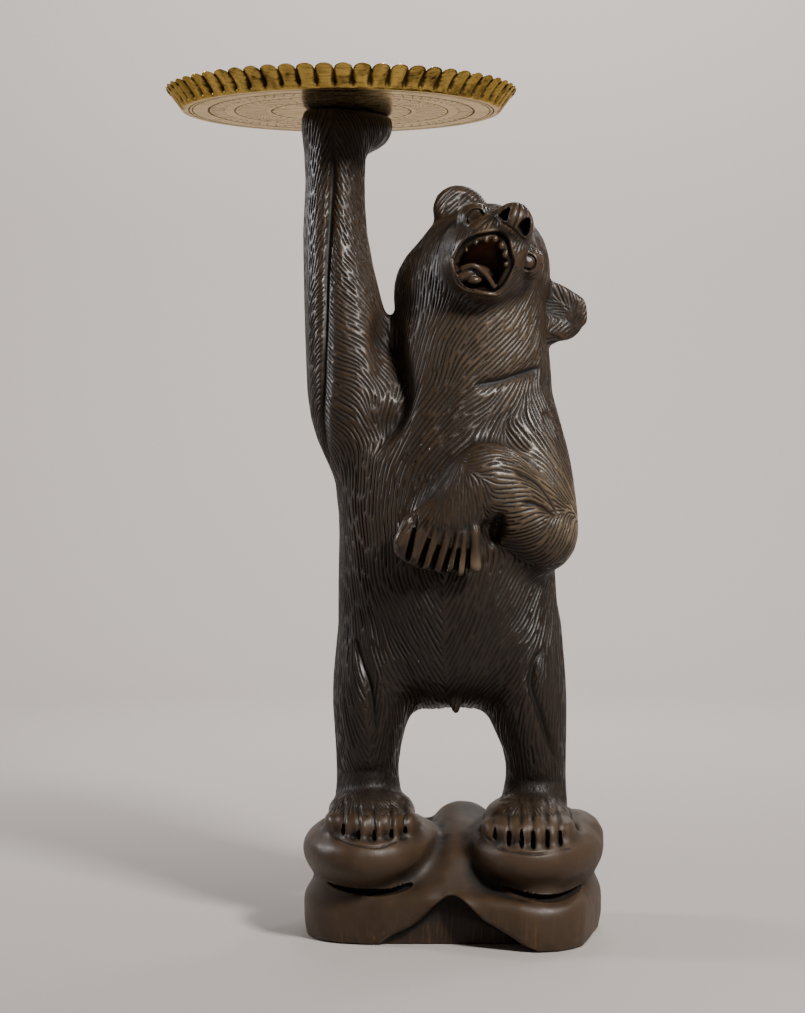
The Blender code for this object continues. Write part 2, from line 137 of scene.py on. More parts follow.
# Paws. Each gap between fingers goes from its top to the tips beside it. The levels of the toe gaps
# and of the hollow are counted from the skin
FOOT_FRONTS = [((-82, -52, 118), (45, 36, 19)), ((71, -64, 113), (45, 36, 19))]
FOOT_EDGES = [
    [(-124, 114.5), (-99, 106.5), (-73, 104.5), (-47.5, 110)],
    [(26, 114), (45, 101.4), (77, 98.9), (112.5, 101.4)],
]
TOE_GAPS = [
    [(-109, 15), (-94, 16), (-79, 16), (-62.5, 15), (-49, 12)],
    [(38, 17), (51, 24), (63, 26), (74, 27), (88, 26), (101, 22)],
]
FINGER_GAPS = [
    ((-38.6, 415), (-45.3, 385)), ((-24, 406), (-33.9, 375)), ((-13.6, 401), (-23.4, 371)),
    ((-3.2, 398), (-12, 368)), ((3.6, 397), (-1.2, 366)), ((12, 396), (10, 367)),
]
FINGER_GAP_WIDTH = 4.6
FINGER_GAP_LEVELS = [(-140, 1), (-108, 0.9), (-103, 0.4)]
TOE_GAP_WIDTH = 3
TOE_GAP_LEVELS = [(-30, 1), (7, 0.9), (10, 0.4)]
MITT = [
    ((-52, -104, 392), (9, 9, 14)), ((-34, -106, 384), (12, 9, 16)), ((-12, -106, 381), (13, 9, 16)),
    ((10, -106, 383), (12, 9, 17)),
]

# Rocks, seen from the front: the arch, the hollow in it, the undercuts with their radii and how full
# they are at each place, and what is chipped off the right edge
ARCH = [(-100, -8), (-70, 10), (-40, 24), (-3, 56), (30, 30), (62, 12), (92, -8)]
HOLLOW = [(-88, -9), (-66, 8), (-38, 23), (-3, 51), (28, 29), (58, 11), (80, -9)]
HOLLOW_LEVELS = [(-50, 1), (8, 1), (14, 0.92)]
SLOTS = [
    [(-122, 60), (-104, 54), (-80, 51.5), (-58, 54), (-42, 61)],
    [(46, 60), (66, 53), (92, 50), (112, 52), (128, 58)],
]
SLOT_SHARES = [0.15, 0.6, 1, 0.6, 0.15]
SLOT_RADII = (8, 13, 2.5)
CHIPS = [((151, -20, 79), (6, 15, 7)), ((150, -20, 47), (5, 14, 6)), ((153, -30, 95), (6, 10, 4))]

# The shelf round the block is worn below this height, in full from a fade further down
SHELF_TOP = 98
SHELF_FADE = 24
SHELF_STEPS = 6
SHELF_ROUNDS = 150

# Deeper cuts, as (across, up) seen from the front
ARM_PARTING = [
    (-121, 815), (-120, 766), (-122, 724), (-126, 656), (-127, 601), (-129, 546), (-130, 505),
    (-124, 472),
]
NOSE_EDGE = [(35, 705), (43, 698), (52.4, 690.8), (60, 685), (66, 681)]
MUZZLE_CREST = [(36, 706), (28.5, 701), (20, 693), (10, 684), (2, 675)]
THROAT = [(18, 545), (42, 549), (60, 555), (84, 563)]
ELBOW_FOLDS = [
    [(55, 462), (77, 451), (90, 435), (100, 418)],
    [(62, 433), (82, 428), (98, 417)],
    [(59, 479), (72, 471), (83, 461)],
]
THIGH_FOLDS = [
    [(85, 288), (76, 271), (74, 250), (83, 224), (91, 199), (101, 176)],
    [(-98, 300), (-91, 275), (-84, 254), (-80, 228), (-78, 205)],
]
ANKLES = [
    [(-114, 160), (-98, 164), (-82, 165), (-57, 167)],
    [(48, 152), (64, 154), (79, 155), (96, 155), (110, 154)],
]

# The routes of the deeper cuts, with their width and depth
FOLDS = [
    ([ARM_PARTING], 5, 3.2),
    ([THROAT], 6, 3),
    (ELBOW_FOLDS, 4, 2.8),
    (THIGH_FOLDS, 5, 3.2),
    (ANKLES, 4, 0.5),
    ([NOSE_EDGE], 3, 2.4),
    ([MUZZLE_CREST], 4, 1.6),
]

# How the fur lies, seen from the front: across, up and its lean in degrees from straight down
# towards the bear's left
FRONT_FUR = [
    # raised arm
    (-138, 780, -14), (-104, 790, 24), (-140, 700, -8), (-108, 720, 34), (-142, 620, -4),
    (-108, 650, 50), (-104, 600, 66), (-140, 560, 6), (-108, 560, 74), (-84, 560, 40),
    (-110, 520, 62), (-86, 510, 30), (-128, 470, 22),
    # neck, throat and cheeks
    (-52, 620, -6), (-40, 660, -4), (-26, 700, -16), (0, 740, -40), (-20, 570, -14),
    (-30, 640, -2), (0, 600, -34), (30, 620, -48), (50, 590, -52), (70, 610, -44),
    (90, 610, -20), (92, 560, -10), (28, 572, -50), (70, 574, -56), (100, 690, 60),
    # chest
    (-70, 520, -18), (-46, 530, -34), (-20, 520, -40), (20, 520, -60), (50, 520, -40),
    (90, 520, 16), (-60, 480, -24), (-30, 480, -40), (0, 490, -50), (-90, 450, -4),
    (-64, 440, -6), (-38, 450, -16), (-14, 462, -38), (-100, 400, 22), (-74, 400, 8),
    (-60, 380, 2), (-106, 340, 16),
    # folded arm and elbow
    (34, 500, -30), (60, 500, 40), (92, 490, 30), (44, 470, 84), (74, 470, 66), (98, 460, 34),
    (50, 440, 96), (84, 440, 84), (70, 410, 112), (96, 400, 150), (30, 470, 110),
    # back of the hand
    (-20, 440, -34), (0, 440, -4), (20, 440, 16), (-36, 424, -30), (0, 420, 0),
    # belly and hips
    (-60, 340, 26), (-30, 330, 18), (-12, 330, 4), (20, 340, -16), (50, 340, -32),
    (84, 350, -46), (-84, 300, 14), (-44, 290, 30), (-12, 290, 0), (24, 290, -24),
    (60, 300, -42), (92, 310, -40), (-12, 250, 0),
    # legs
    (-112, 280, 2), (-84, 280, 26), (-60, 250, 38), (-108, 230, 10), (-84, 220, 14),
    (-62, 215, 30), (-104, 180, 22), (-84, 180, 10), (-64, 180, 36), (96, 270, -6),
    (70, 270, -30), (46, 250, -44), (100, 220, 4), (74, 220, -8), (52, 210, -32),
    (100, 180, 14), (76, 180, 6), (58, 175, -18),
    # the ear
    (98, 642, 20), (112, 636, 10), (98, 625, 90), (108, 618, 90), (122, 622, -40), (124, 610, -40),
    (98, 603, -60), (112, 603, -60), (98, 593, 84),
]
BACK_FUR = [
    (-120, 780, 0), (-120, 700, 6), (-118, 620, 12), (-100, 540, 24), (-60, 560, -10),
    (20, 700, 10), (-20, 660, -20), (60, 640, 24), (0, 600, -14), (40, 580, 16),
    (-60, 480, -22), (0, 500, 0), (60, 480, 22), (-70, 400, -16), (-6, 400, 0), (64, 400, 16),
    (-74, 320, -10), (0, 310, 0), (70, 320, 10), (-80, 220, 0), (78, 220, 0), (-84, 160, 0),
    (80, 160, 0),
]
# Lines the fur leaves or meets: places seen from the front, reach, and the angle it opens at
PARTINGS = [
    (ARM_PARTING[:5], 20, 30),
    ([(-125, 640), (-127, 601), (-129, 546), (-127, 500)], 24, 58),
    ([(-12, 345), (-12, 300), (-10, 255)], 34, -32),
    ([(-88, 245), (-86, 215), (-85, 175)], 26, -26),
]
# Where the gouge works finer: place, reach, gap between strokes, depth and length
FINER_COAT = [
    ((26, -30, 665), 92, 2.5, 0.4, 20),
    ((-5, -105, 430), 52, 2.9, 0.4, 16),
    ((-120, 0, 700), 130, 3.6, 1.2, 21),
    ((112, 0, 620), 34, 2.7, 0.7, 15),
    ((-82, -40, 150), 48, 2.6, 0.6, 7),
    ((74, -44, 145), 48, 2.6, 0.6, 7),
]
# Below this height are the rocks and feet, without fur
SMOOTH_BELOW = 127
# More places without fur, each from one corner to the other: between the legs, the tips of the
# folded paw's fingers and the raised paw under the tray
BARE = [
    ((-44, -200, -9), (44, 300, 150)),
    ((-66, -200, -9), (26, -92, 404)),
    ((-300, -200, 819), (200, 300, 900)),
]
EYE_BARE = 12
# Where hands have rubbed the stain thin at the elbow, fingertips and muzzle, and painted light on the
# forearm and throat: place, reach and how much lighter the wood is made
WORN_AND_LIT = [
    ((104, -58, 418), 50, 0.8), ((72, -78, 448), 66, 0.6), ((45, -72, 590), 80, 0.3),
    ((17, -114, 374), 13, 0.45), ((2, -114, 372), 12, 0.4), ((28, -118, 690), 16, 0.3),
]

# Colours in the wood: painted shade on the belly, legs and the rocks' hollow, stain with painted shade
# in the cuts and creases, bare flecks and the mouth's lining
PAINTED_SHADE = (0.005, 0.0028, 0.0014)
CUT_STAIN_AND_SHADE = (0.004, 0.0025, 0.0015)
FLECKS = (0.16, 0.07, 0.022)
LINING = [(0.02, 0.01, 0.007), (0.15, 0.06, 0.024)]

# The tray's engraving, in metres: the waves' number, middle, swing and width, and the plain rings
PETALS = [(12, 0.047, 0.022, 0.0012), (24, 0.090, 0.014, 0.0011), (36, 0.124, 0.0065, 0.0009)]
RINGS = (0.022, 0.070, 0.107, 0.1335, 0.153)
TARNISH = (0.045, 0.028, 0.01)
# The tray's section: where the flat floor has rows, and its flare as shares of what is left outside
# the floor, of the height, of the fold's depth, of a lobe's width and of the edge's dip
SECTION_FIELDS = ("radius", "height", "deep", "wide", "drop")
FLOOR_SHARES = (0, 0.03, 0.1, 0.25, 0.45, 0.65, 0.8, 0.92, 0.98)
FLARE = [
    (0, 0, 0, 0.3, 0), (0.07, 0.02, 0, 0.3, 0), (0.15, 0.1, 0.15, 0.34, 0),
    (0.24, 0.2, 0.62, 0.48, 0), (0.34, 0.31, 0.9, 0.54, 0), (0.46, 0.43, 1, 0.46, 0),
    (0.58, 0.56, 1, 0.36, 0.05), (0.7, 0.69, 0.96, 0.3, 0.14), (0.81, 0.81, 0.9, 0.26, 0.34),
    (0.9, 0.91, 0.84, 0.26, 0.6), (0.97, 0.985, 0.8, 0.22, 0.86),
]
LOBE_COLUMNS = 14
# How far a lobe's round outside falls back beside the fold, as a share of the fold's depth
BULGE = 0.75

# Each lamp's place, what it points at, its size and its colour
LAMPS = {
    "key": ((1.0, -1.5, 1.75), (0, 0, 0.5), (0.35, 0.35), (1.0, 0.97, 0.93)),
    "fill": ((-1.8, 0.3, 1.1), (0, 0, 0.5), (0.35, 0.35), (0.98, 0.98, 1.0)),
    "wall": ((0.1, 1.3, 2.3), (0.2, 3.2, 0.9), (0.5, 0.4), (1, 1, 1)),
    "back": ((1.2, 1.6, 2.0), (0, 0, 0.5), (0.5, 0.5), (1, 1, 1)),
}
CAMERA_PLACE = (-0.0515, -2.4, 0.487)
CAMERA_PITCH = math.radians(90 - 1.468)
CAMERA_SENSOR = 36
CAMERA_LENS = CAMERA_SENSOR * 2400 / 1013

# Where the skin is parted, so that no piece is too heavy: the highest and the furthest across of each
PIECES = {
    "carved_rocks": (118, None),
    "carved_legs": (290, None),
    "carved_belly": (452, None),
    "carved_raised_arm": (None, -62),
    "carved_chest": (578, None),
    "carved_head": (None, None),
}


def metres(name, description, default):
    return bpy.props.FloatProperty(name=name, description=description, default=default, unit="LENGTH")


def tone(name, description, default):
    return bpy.props.FloatVectorProperty(
        name=name, description=description, default=default, subtype="COLOR"
    )


def watts(name, default):
    return bpy.props.FloatProperty(
        name=name, description="Power in watts", default=default, unit="POWER"
    )


class CarvingSettings(bpy.types.PropertyGroup):
    """How the wood is carved and finished."""

    gap: metres("Gap", "Between two strokes of the gouge", 0.0041)
    depth: metres("Depth", "Of a stroke of the gouge", 0.0013)
    length: metres("Length", "Of a stroke of the gouge", 0.052)
    scoop: metres("Scoop", "Depth of the adze's marks on the rocks", 0.0004)
    facets: bpy.props.IntProperty(
        name="Facets", description="Triangles kept on the carved figure", default=860000
    )
    wood: tone("Wood", "Dark stained wood", (0.0125, 0.0072, 0.0039))
    # The rubbed colour is wear with painted highlight on ridges and edges; the bare colour is rubbed
    # wood at the elbow, fingertips and muzzle, and painted light on the forearm and throat
    rubbed: tone("Rubbed", "Wood where the stain is rubbed thin", (0.05, 0.0292, 0.0152))
    bare_and_lit: tone("Bare", "Wood where the stain is gone", (0.22, 0.165, 0.1))


class TraySettings(bpy.types.PropertyGroup):
    """The pressed brass tray."""

    lobes: bpy.props.IntProperty(name="Lobes", description="Round the rim", default=60)
    turn: bpy.props.FloatProperty(
        name="Turn", description="From a lobe to the front", default=math.radians(2.03), subtype="ANGLE"
    )
    floor: metres("Floor", "Radius of the flat floor", 0.159)
    pinch: metres("Pinch", "Depth of the fold between two lobes", 0.005)
    dip: metres("Dip", "How far the edge drops between two lobes", 0.0056)
    wall: metres("Wall", "Thickness of the sheet", 0.0014)
    brass: tone("Brass", "Polished brass", (0.47, 0.315, 0.078))
    pale: tone("Pale", "The paler floor", (0.5, 0.41, 0.25))


class StageSettings(bpy.types.PropertyGroup):
    """Floor, backdrop and lights."""

    backdrop: tone("Backdrop", "Pale paper", (0.38, 0.346, 0.326))
    key: watts("Key", 98)
    fill: watts("Fill", 24)
    wall: watts("Wall", 105)
    back: watts("Back", 14)


class Wire:
    """An output socket that works in sums: each sum adds a Math node to its tree."""

    def __init__(self, socket):
        self.socket = socket
        self.tree = socket.id_data

    def math(self, operation, *others, clamp=False):
        """A Math node of this wire and the others."""
        settings = {"operation": operation, "use_clamp": clamp}
        return add(self.tree, "ShaderNodeMath", settings, (self, *others))

    def after(self, operation, other):
        """A Math node of a number and this wire."""
        return add(self.tree, "ShaderNodeMath", {"operation": operation}, (other, self))

    def __add__(self, other):
        return self.math("ADD", other)

    __radd__ = __add__

    def __sub__(self, other):
        return self.math("SUBTRACT", other)

    def __rsub__(self, other):
        return self.after("SUBTRACT", other)

    def __mul__(self, other):
        return self.math("MULTIPLY", other)

    __rmul__ = __mul__

    def __truediv__(self, other):
        return self.math("DIVIDE", other)

    def __rtruediv__(self, other):
        return self.after("DIVIDE", other)

    def __pow__(self, other):
        return self.math("POWER", other)

    def clamped(self):
        return self.math("ADD", 0.0, clamp=True)

    def within(self, low, high):
        """0 up to low, 1 from high, and even between."""
        return ((self - low) / (high - low)).clamped()


def add(tree, kind, settings=None, values=(), output=0):
    """Adds a node. Its settings are made first, then each value or wire is put in its socket."""
    node = tree.nodes.new(kind)
    for name, value in (settings or {}).items():
        setattr(node, name, value)
    named = values.items() if isinstance(values, dict) else enumerate(values)
    for key, value in named:
        if isinstance(value, Wire):
            tree.links.new(value.socket, node.inputs[key])
        elif value is not None:
            node.inputs[key].default_value = value
    return Wire(node.outputs[output])


LEANING = Matrix.Rotation(HEAD_LEAN, 3, "Y")
TIPPED = LEANING @ Matrix.Rotation(-HEAD_TIP, 3, "X")


def on_head(place):
    """A place in the leaning frame as one in the figure."""
    return Vector(SKULL_CENTRE) + LEANING @ Vector(place)


def link(name, data):
    made = bpy.data.objects.new(name, data)
    bpy.context.scene.collection.objects.link(made)
    return made


def object_from(bm, name):
    mesh = bpy.data.meshes.new(name)
    bm.to_mesh(mesh)
    bm.free()
    return link(name, mesh)


def ball(bm, centre, radii, turn=None, subdivisions=4):
    turn = (turn or Matrix.Identity(3)).to_4x4()
    size = Matrix.Diagonal((*(r * PART for r in radii), 1))
    place = Matrix.Translation(Vector(centre) * PART)
    bmesh.ops.create_icosphere(bm, subdivisions=subdivisions, radius=1, matrix=place @ turn @ size)


def between(stations, t):
    """A smooth run through the stations, each of which is (centre, radii)."""
    i = min(int(t), len(stations) - 2)
    u = t - i
    ends = [stations[max(0, min(len(stations) - 1, i + k))] for k in (-1, 0, 1, 2)]
    a, b, c, d = [np.array([*place, *radii], float) for place, radii in ends]
    return 0.5 * (
        2 * b + (c - a) * u + (2 * a - 5 * b + 4 * c - d) * u * u + (3 * b - a - 3 * c + d) * u**3
    )


def limb(bm, stations, turn=None):
    """Ellipsoids strung along the stations, close enough to read as one swelling form."""
    for n in range(BALLS_BETWEEN * (len(stations) - 1) + 1):
        row = between(stations, n / BALLS_BETWEEN)
        ball(bm, row[:3], row[3:], turn, 3)


def head_limb(bm, stations):
    limb(bm, [(on_head(place), radii) for place, radii in stations], turn=TIPPED)


def cord(bm, route, radius):
    """A round bead along the route."""
    for place in smooth_line(route, radius * 0.5):
        ball(bm, place, (radius, radius, radius), None, 2)


def settle(obj):
    """The object's modifiers become its mesh."""
    graph = bpy.context.evaluated_depsgraph_get()
    graph.update()
    mesh = bpy.data.meshes.new_from_object(obj.evaluated_get(graph))
    obj.modifiers.clear()
    old = obj.data
    obj.data = mesh
    bpy.data.meshes.remove(old)
    return obj


def fuse(obj, grain, rounds):
    """Overlapping forms become one skin of even grain, with their joints rounded off."""
    remesh = obj.modifiers.new("fuse", "REMESH")
    remesh.mode = "VOXEL"
    remesh.voxel_size = grain * PART
    if rounds:
        smooth = obj.modifiers.new("soften", "SMOOTH")
        smooth.factor = 0.5
        smooth.iterations = rounds
    return settle(obj)


def absorb(obj, bm):
    bm.from_mesh(obj.data)
    bm.to_mesh(obj.data)
    bm.free()


def cut(obj, cutter):
    taken = obj.modifiers.new("cut", "BOOLEAN")
    taken.operation = "DIFFERENCE"
    taken.solver = "MANIFOLD"
    taken.object = cutter
    settle(obj)
    bpy.data.objects.remove(cutter)


def through(bm, outline, levels):
    """A closed form with the outline, seen from the front, larger or smaller at each level."""
    points = smooth_line([(across, 0, up) for across, up in [*outline, outline[0]]], 2)[:-1]
    middle = points.mean(axis=0)
    rings = []
    for back, share in levels:
        ring = (middle + (points - middle) * share + (0, back, 0)) * PART
        rings.append([bm.verts.new(place) for place in ring])
    faces = [bm.faces.new(rings[0]), bm.faces.new(rings[-1])]
    for near_ring, far_ring in zip(rings, rings[1:]):
        for k in range(len(points)):
            corners = (near_ring[k - 1], near_ring[k], far_ring[k], far_ring[k - 1])
            faces.append(bm.faces.new(corners))
    bmesh.ops.recalc_face_normals(bm, faces=faces)


def array_of(items, field, width, kind=np.float32):
    found = np.empty(len(items) * width, kind)
    items.foreach_get(field, found)
    return found.reshape(-1, width)


def smooth_line(route, step):
    """Points along a smooth line through the route, about a step apart."""
    stations = [(p, (0, 0, 0)) for p in route]
    rows = []
    for i in range(len(route) - 1):
        length = (Vector(route[i + 1]) - Vector(route[i])).length
        pieces = max(2, round(length / step))
        rows += [between(stations, i + k / pieces)[:3] for k in range(pieces)]
    rows.append(np.array(route[-1], float))
    return np.array(rows)


class Surface:
    """A skin that places and lines are put on."""

    def __init__(self, obj):
        self.tree = BVHTree.FromObject(obj, bpy.context.evaluated_depsgraph_get())
        self.centres = array_of(obj.data.polygons, "center", 3).astype(float)
        self.normals = array_of(obj.data.polygons, "normal", 3).astype(float)

    def seen(self, across, up, side=-1):
        """The place (in metres) and the way it faces, seen from the front, or from the back."""
        start = Vector((across * PART, side, up * PART))
        place, facing, _, _ = self.tree.ray_cast(start, Vector((0, -side, 0)))
        return place, facing

    def ring(self, middle, radii, turn, swell=1.0):
        """Places, in parts, round an ellipse that is seen from the front and lies flat on the skin."""
        centre, facing = self.seen(*middle)
        cos, sin = math.cos(math.radians(turn)), math.sin(math.radians(turn))
        found = []
        for n in range(RING_POINTS + 1):
            angle = 2 * math.pi * n / RING_POINTS
            u, v = radii[0] * swell * math.cos(angle), radii[1] * swell * math.sin(angle)
            across, up = u * cos + v * sin, v * cos - u * sin
            back = -(facing.x * across + facing.z * up) / facing.y
            place = centre + Vector((across, max(-6, min(6, back)), up)) * PART
            found.append(tuple(self.tree.find_nearest(place)[0] / PART))
        return found

    def line(self, route, back=0):
        """The route's points, as (across, up), in parts on the front of the skin, or behind it."""
        found = [self.seen(across, up)[0] for across, up in route]
        return [tuple(place / PART + Vector((0, back, 0))) for place in found if place]


class Lines:
    """Cuts to be carved: points in metres with a width and a depth, joined in rows."""

    def __init__(self):
        self.points, self.edges, self.widths, self.depths = [], [], [], []

    def draw(self, points, width, depth, taper):
        """Adds one cut. It gets shallower and narrower over the taper, in points, at both ends."""
        first = len(self.points)
        last = len(points) - 1
        for k, place in enumerate(points):
            share = min(1.0, (min(k, last - k) + 0.5) / taper)
            self.points.append(tuple(place))
            self.widths.append(width * (0.55 + 0.45 * share))
            self.depths.append(depth * share**0.7)
        self.edges += [(first + k, first + k + 1) for k in range(last)]

    def route(self, places, width, depth, taper=8):
        """Adds a deeper cut through places that are in parts."""
        if len(places) > 1:
            self.draw(smooth_line(places, LINE_STEP) * PART, width * PART, depth * PART, taper)

    def made(self, name):
        mesh = bpy.data.meshes.new(name)
        mesh.from_pydata(self.points, self.edges, [])
        for field, values in (("width", self.widths), ("depth", self.depths)):
            layer = mesh.attributes.new(field, "FLOAT", "POINT")
            layer.data.foreach_set("value", np.array(values, np.float32))
        return link(name, mesh)


def new_tree(name, inputs):
    """A Geometry Nodes tree with named inputs, and the wires that come from them."""
    tree = bpy.data.node_groups.new(name, "GeometryNodeTree")
    for label, kind in inputs.items():
        tree.interface.new_socket(label, in_out="INPUT", socket_type="NodeSocket" + kind)
    tree.interface.new_socket("Made", in_out="OUTPUT", socket_type="NodeSocketGeometry")
    given = tree.nodes.new("NodeGroupInput")
    return tree, [Wire(given.outputs[n]) for n in range(len(inputs))]


def end_tree(tree, made, finish):
    whole = add(tree, "GeometryNodeRealizeInstances", None, [made])
    coloured = add(tree, "GeometryNodeSetMaterial", None, {"Geometry": whole, "Material": finish})
    result = tree.nodes.new("NodeGroupOutput")
    tree.links.new(coloured.socket, result.inputs[0])
    return tree


def grow(obj, tree, values):
    """Runs the tree on the object, and the result becomes its mesh."""
    modifier = obj.modifiers.new("grow", "NODES")
    modifier.node_group = tree
    keys = {item.name: item.identifier for item in tree.interface.items_tree if item.in_out == "INPUT"}
    for name, value in values.items():
        modifier[keys[name]] = value
    settle(obj)


def read(tree, name):
    return add(tree, "GeometryNodeInputNamedAttribute", {"data_type": "FLOAT"}, {"Name": name})


def stored(tree, skin, name, value):
    values = {"Geometry": skin, "Name": name, "Value": value}
    return add(tree, "GeometryNodeStoreNamedAttribute", {"data_type": "FLOAT"}, values)


def points_of(tree, obj):
    relative = {"transform_space": "RELATIVE"}
    return add(tree, "GeometryNodeObjectInfo", relative, {"Object": obj}, "Geometry")


def said_by(tree, points, names, index):
    """What the point with the index says under each name."""
    said = []
    for name in names:
        values = {"Geometry": points, "Value": read(tree, name), "Index": index}
        said.append(add(tree, "GeometryNodeSampleIndex", {"data_type": "FLOAT"}, values))
    return said


def sunk(tree, skin, depth):
    """The skin set back along its normals by a depth."""
    normal = add(tree, "GeometryNodeInputNormal")
    scaled = {0: normal, "Scale": depth * -1}
    offset = add(tree, "ShaderNodeVectorMath", {"operation": "SCALE"}, scaled)
    return add(tree, "GeometryNodeSetPosition", None, {"Geometry": skin, "Offset": offset})


def carving_tree():
    """Sinks a skin below the nearest line, in a cut as wide and deep as the line says there."""
    inputs = {"Skin": "Geometry", "Lines": "Object", "Mark": "String", "Finish": "Material"}
    tree, (skin, lines, mark, finish) = new_tree("carve_lines", inputs)
    drawn = points_of(tree, lines)
    far = add(tree, "GeometryNodeProximity", {"target_element": "EDGES"}, [drawn], "Distance")
    nearest = add(tree, "GeometryNodeSampleNearest", {"domain": "POINT"}, [drawn])
    width, depth = said_by(tree, drawn, ("width", "depth"), nearest)
    share = (1 - far / width).clamped() ** ROUNDNESS
    marked = stored(tree, skin, mark, share)
    return end_tree(tree, sunk(tree, marked, read(tree, mark) * depth), finish)


def adze_tree():
    """Shallow scoops side by side over the rocks, fading out below a height."""
    inputs = {"Skin": "Geometry", "Scoop": "Float", "Across": "Float", "Finish": "Material"}
    tree, (skin, scoop, across, finish) = new_tree("adze_marks", inputs)
    place = add(tree, "GeometryNodeInputPosition")
    values = {"Vector": place, "Scale": 30.0, "Detail": 1.0}
    drift = add(tree, "ShaderNodeTexNoise", None, values, "Color")
    bent = add(tree, "ShaderNodeVectorMath", {"operation": "MULTIPLY_ADD"}, [drift, (0.012,) * 3, place])
    cells = {"feature": "SMOOTH_F1"}
    far = add(
        tree, "ShaderNodeTexVoronoi", cells,
        {"Vector": bent, "Scale": 1 / across, "Smoothness": 0.35}, "Distance",
    )
    height = add(tree, "ShaderNodeSeparateXYZ", None, [place], "Z")
    share = (SCOOPS_BELOW * PART - height).within(0, 0.012)
    depth = (1 - (far * far) * 1.6).clamped() * share * scoop
    return end_tree(tree, sunk(tree, skin, depth), finish)


def carve(obj, lines, mark, finish):
    """The lines are carved into the object, and the share of their depth is kept as the mark."""
    drawn = lines.made("lines")
    tree = bpy.data.node_groups.get("carve_lines") or carving_tree()
    grow(obj, tree, {"Lines": drawn, "Mark": mark, "Finish": finish})
    bpy.data.objects.remove(drawn)


def closed_form():
    """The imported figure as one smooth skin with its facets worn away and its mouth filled."""
    bm = bmesh.new()
    bm.from_mesh(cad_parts["carved_bear"].data)
    bmesh.ops.remove_doubles(bm, verts=bm.verts, dist=1e-6)
    form = object_from(bm, "carved_figure")
    fuse(form, FORM_GRAIN, 8)
    bm = bmesh.new()
    for stations in (MUZZLE, LOWER_JAW, BRIDGE):
        head_limb(bm, stations)
    for pad in (NOSE_CAP, *EYE_PADS):
        ball(bm, *pad)
    ball(bm, on_head(EAR_DISH[0]), EAR_DISH[1], TIPPED)
    through(bm, EAR_BLADE, EAR_BLADE_LEVELS)
    limb(bm, MITT)
    for front in FOOT_FRONTS:
        ball(bm, *front)
    absorb(form, bm)
    soften(fuse(form, FORM_GRAIN, 3))
    return form


def soften(form):
    """Wears the shelf round the block to a slope, and leaves the arch and the boulders."""
    places = array_of(form.data.vertices, "co", 3).astype(float)
    up = places[:, 2] / PART
    share = np.clip((SHELF_TOP - up) / SHELF_FADE, 0, 1) * (up > 3) * ~inside(ARCH, places, 1.06)
    group = form.vertex_groups.new(name="shelf")
    steps = np.round(share * SHELF_STEPS)
    for step in range(1, SHELF_STEPS + 1):
        group.add([int(n) for n in np.flatnonzero(steps == step)], step / SHELF_STEPS, "REPLACE")
    smooth = form.modifiers.new("soften", "SMOOTH")
    smooth.factor = 0.5
    smooth.iterations = SHELF_ROUNDS
    smooth.vertex_group = group.name
    settle(form)


def notch(bm, top, bottom, width, levels, beyond):
    """A slot that widens from its top to its bottom and goes on beyond it."""
    top, bottom = np.array(top, float), np.array(bottom, float)
    ahead = (bottom - top) / np.linalg.norm(bottom - top)
    aside = np.array([-ahead[1], ahead[0]]) * width / 2
    middle, end = (top + bottom) / 2, bottom + ahead * beyond
    outline = [top, middle + aside * 0.8, end + aside * 1.3, end - aside * 1.3, middle - aside * 0.8]
    through(bm, [tuple(place) for place in outline], levels)


def toe_gaps():
    """The top and bottom of each gap between two toes."""
    for edge, gaps in zip(FOOT_EDGES, TOE_GAPS):
        for across, high in gaps:
            low = float(np.interp(across, *zip(*edge)))
            yield (across, low + high), (across, low)


def openings(surface):
    """What is taken away: mouth, nostrils, gaps between fingers and toes, chips and the front hollow."""
    bm = bmesh.new()
    through(bm, MOUTH, MOUTH_LEVELS)
    for outline in NOSTRILS:
        through(bm, outline, NOSTRIL_LEVELS)
    for top, bottom in FINGER_GAPS:
        notch(bm, top, bottom, FINGER_GAP_WIDTH, FINGER_GAP_LEVELS, 9)
    for top, bottom in toe_gaps():
        levels = from_skin(surface, np.add(top, bottom) / 2, TOE_GAP_LEVELS)
        notch(bm, top, bottom, TOE_GAP_WIDTH, levels, 0.5)
    for chip in CHIPS:
        ball(bm, *chip)
    through(bm, HOLLOW, from_skin(surface, (0, 25), HOLLOW_LEVELS))
    return object_from(bm, "openings")


def from_skin(surface, place, levels):
    """Levels that are counted from the skin at a place."""
    ((_, skin, _),) = surface.line([place])
    return [(skin + back, share) for back, share in levels]


def slots(surface):
    """The undercuts below the two rocks."""
    bm = bmesh.new()
    wide, deep, high = SLOT_RADII
    for slot in SLOTS:
        line = zip(surface.line(slot, 3), SLOT_SHARES)
        limb(bm, [(place, (wide, deep * share, high * share)) for place, share in line])
    return fuse(object_from(bm, "slots"), SLOT_GRAIN, 2)


def mouth_and_eyes(surface):
    """What is left standing in the openings and on the face: gums, lips, teeth, tongue and eyes."""
    bm = bmesh.new()
    middle = np.mean(MOUTH, axis=0)

    def drawn_in(outline, share):
        return [tuple(middle + (np.array(place) - middle) * share) for place in outline]

    depths = [place[1] for place in surface.line(GUM)]
    for share, back in GUM_CORDS:
        cord(bm, [(x, y + back, z) for (x, z), y in zip(drawn_in(GUM, share), depths)], 3)
    cord(bm, surface.line(drawn_in(LOWER_LIP, 1.02), 0.5), 2)
    for (across, up), radius in TEETH:
        (place,) = surface.line([(across, up)], 10)
        ball(bm, place, (radius, radius * 1.2, radius * 1.15), None, 3)
    limb(bm, TONGUE)
    cord(bm, TONGUE_RIM, 2.8)
    ball(bm, *TONGUE_TIP)
    for (across, up), (wide, high), turn in EYES:
        place, facing = surface.seen(across, up)
        centre = place / PART - facing * (EYE_DEPTH - 1.2)
        spun = Euler((0, math.radians(turn), 0)).to_matrix()
        ball(bm, centre, (wide * 0.8, EYE_DEPTH, high * 0.8), spun)
        cord(bm, surface.ring((across, up), (wide, high), turn, 1.28), 1.5)
    return bm


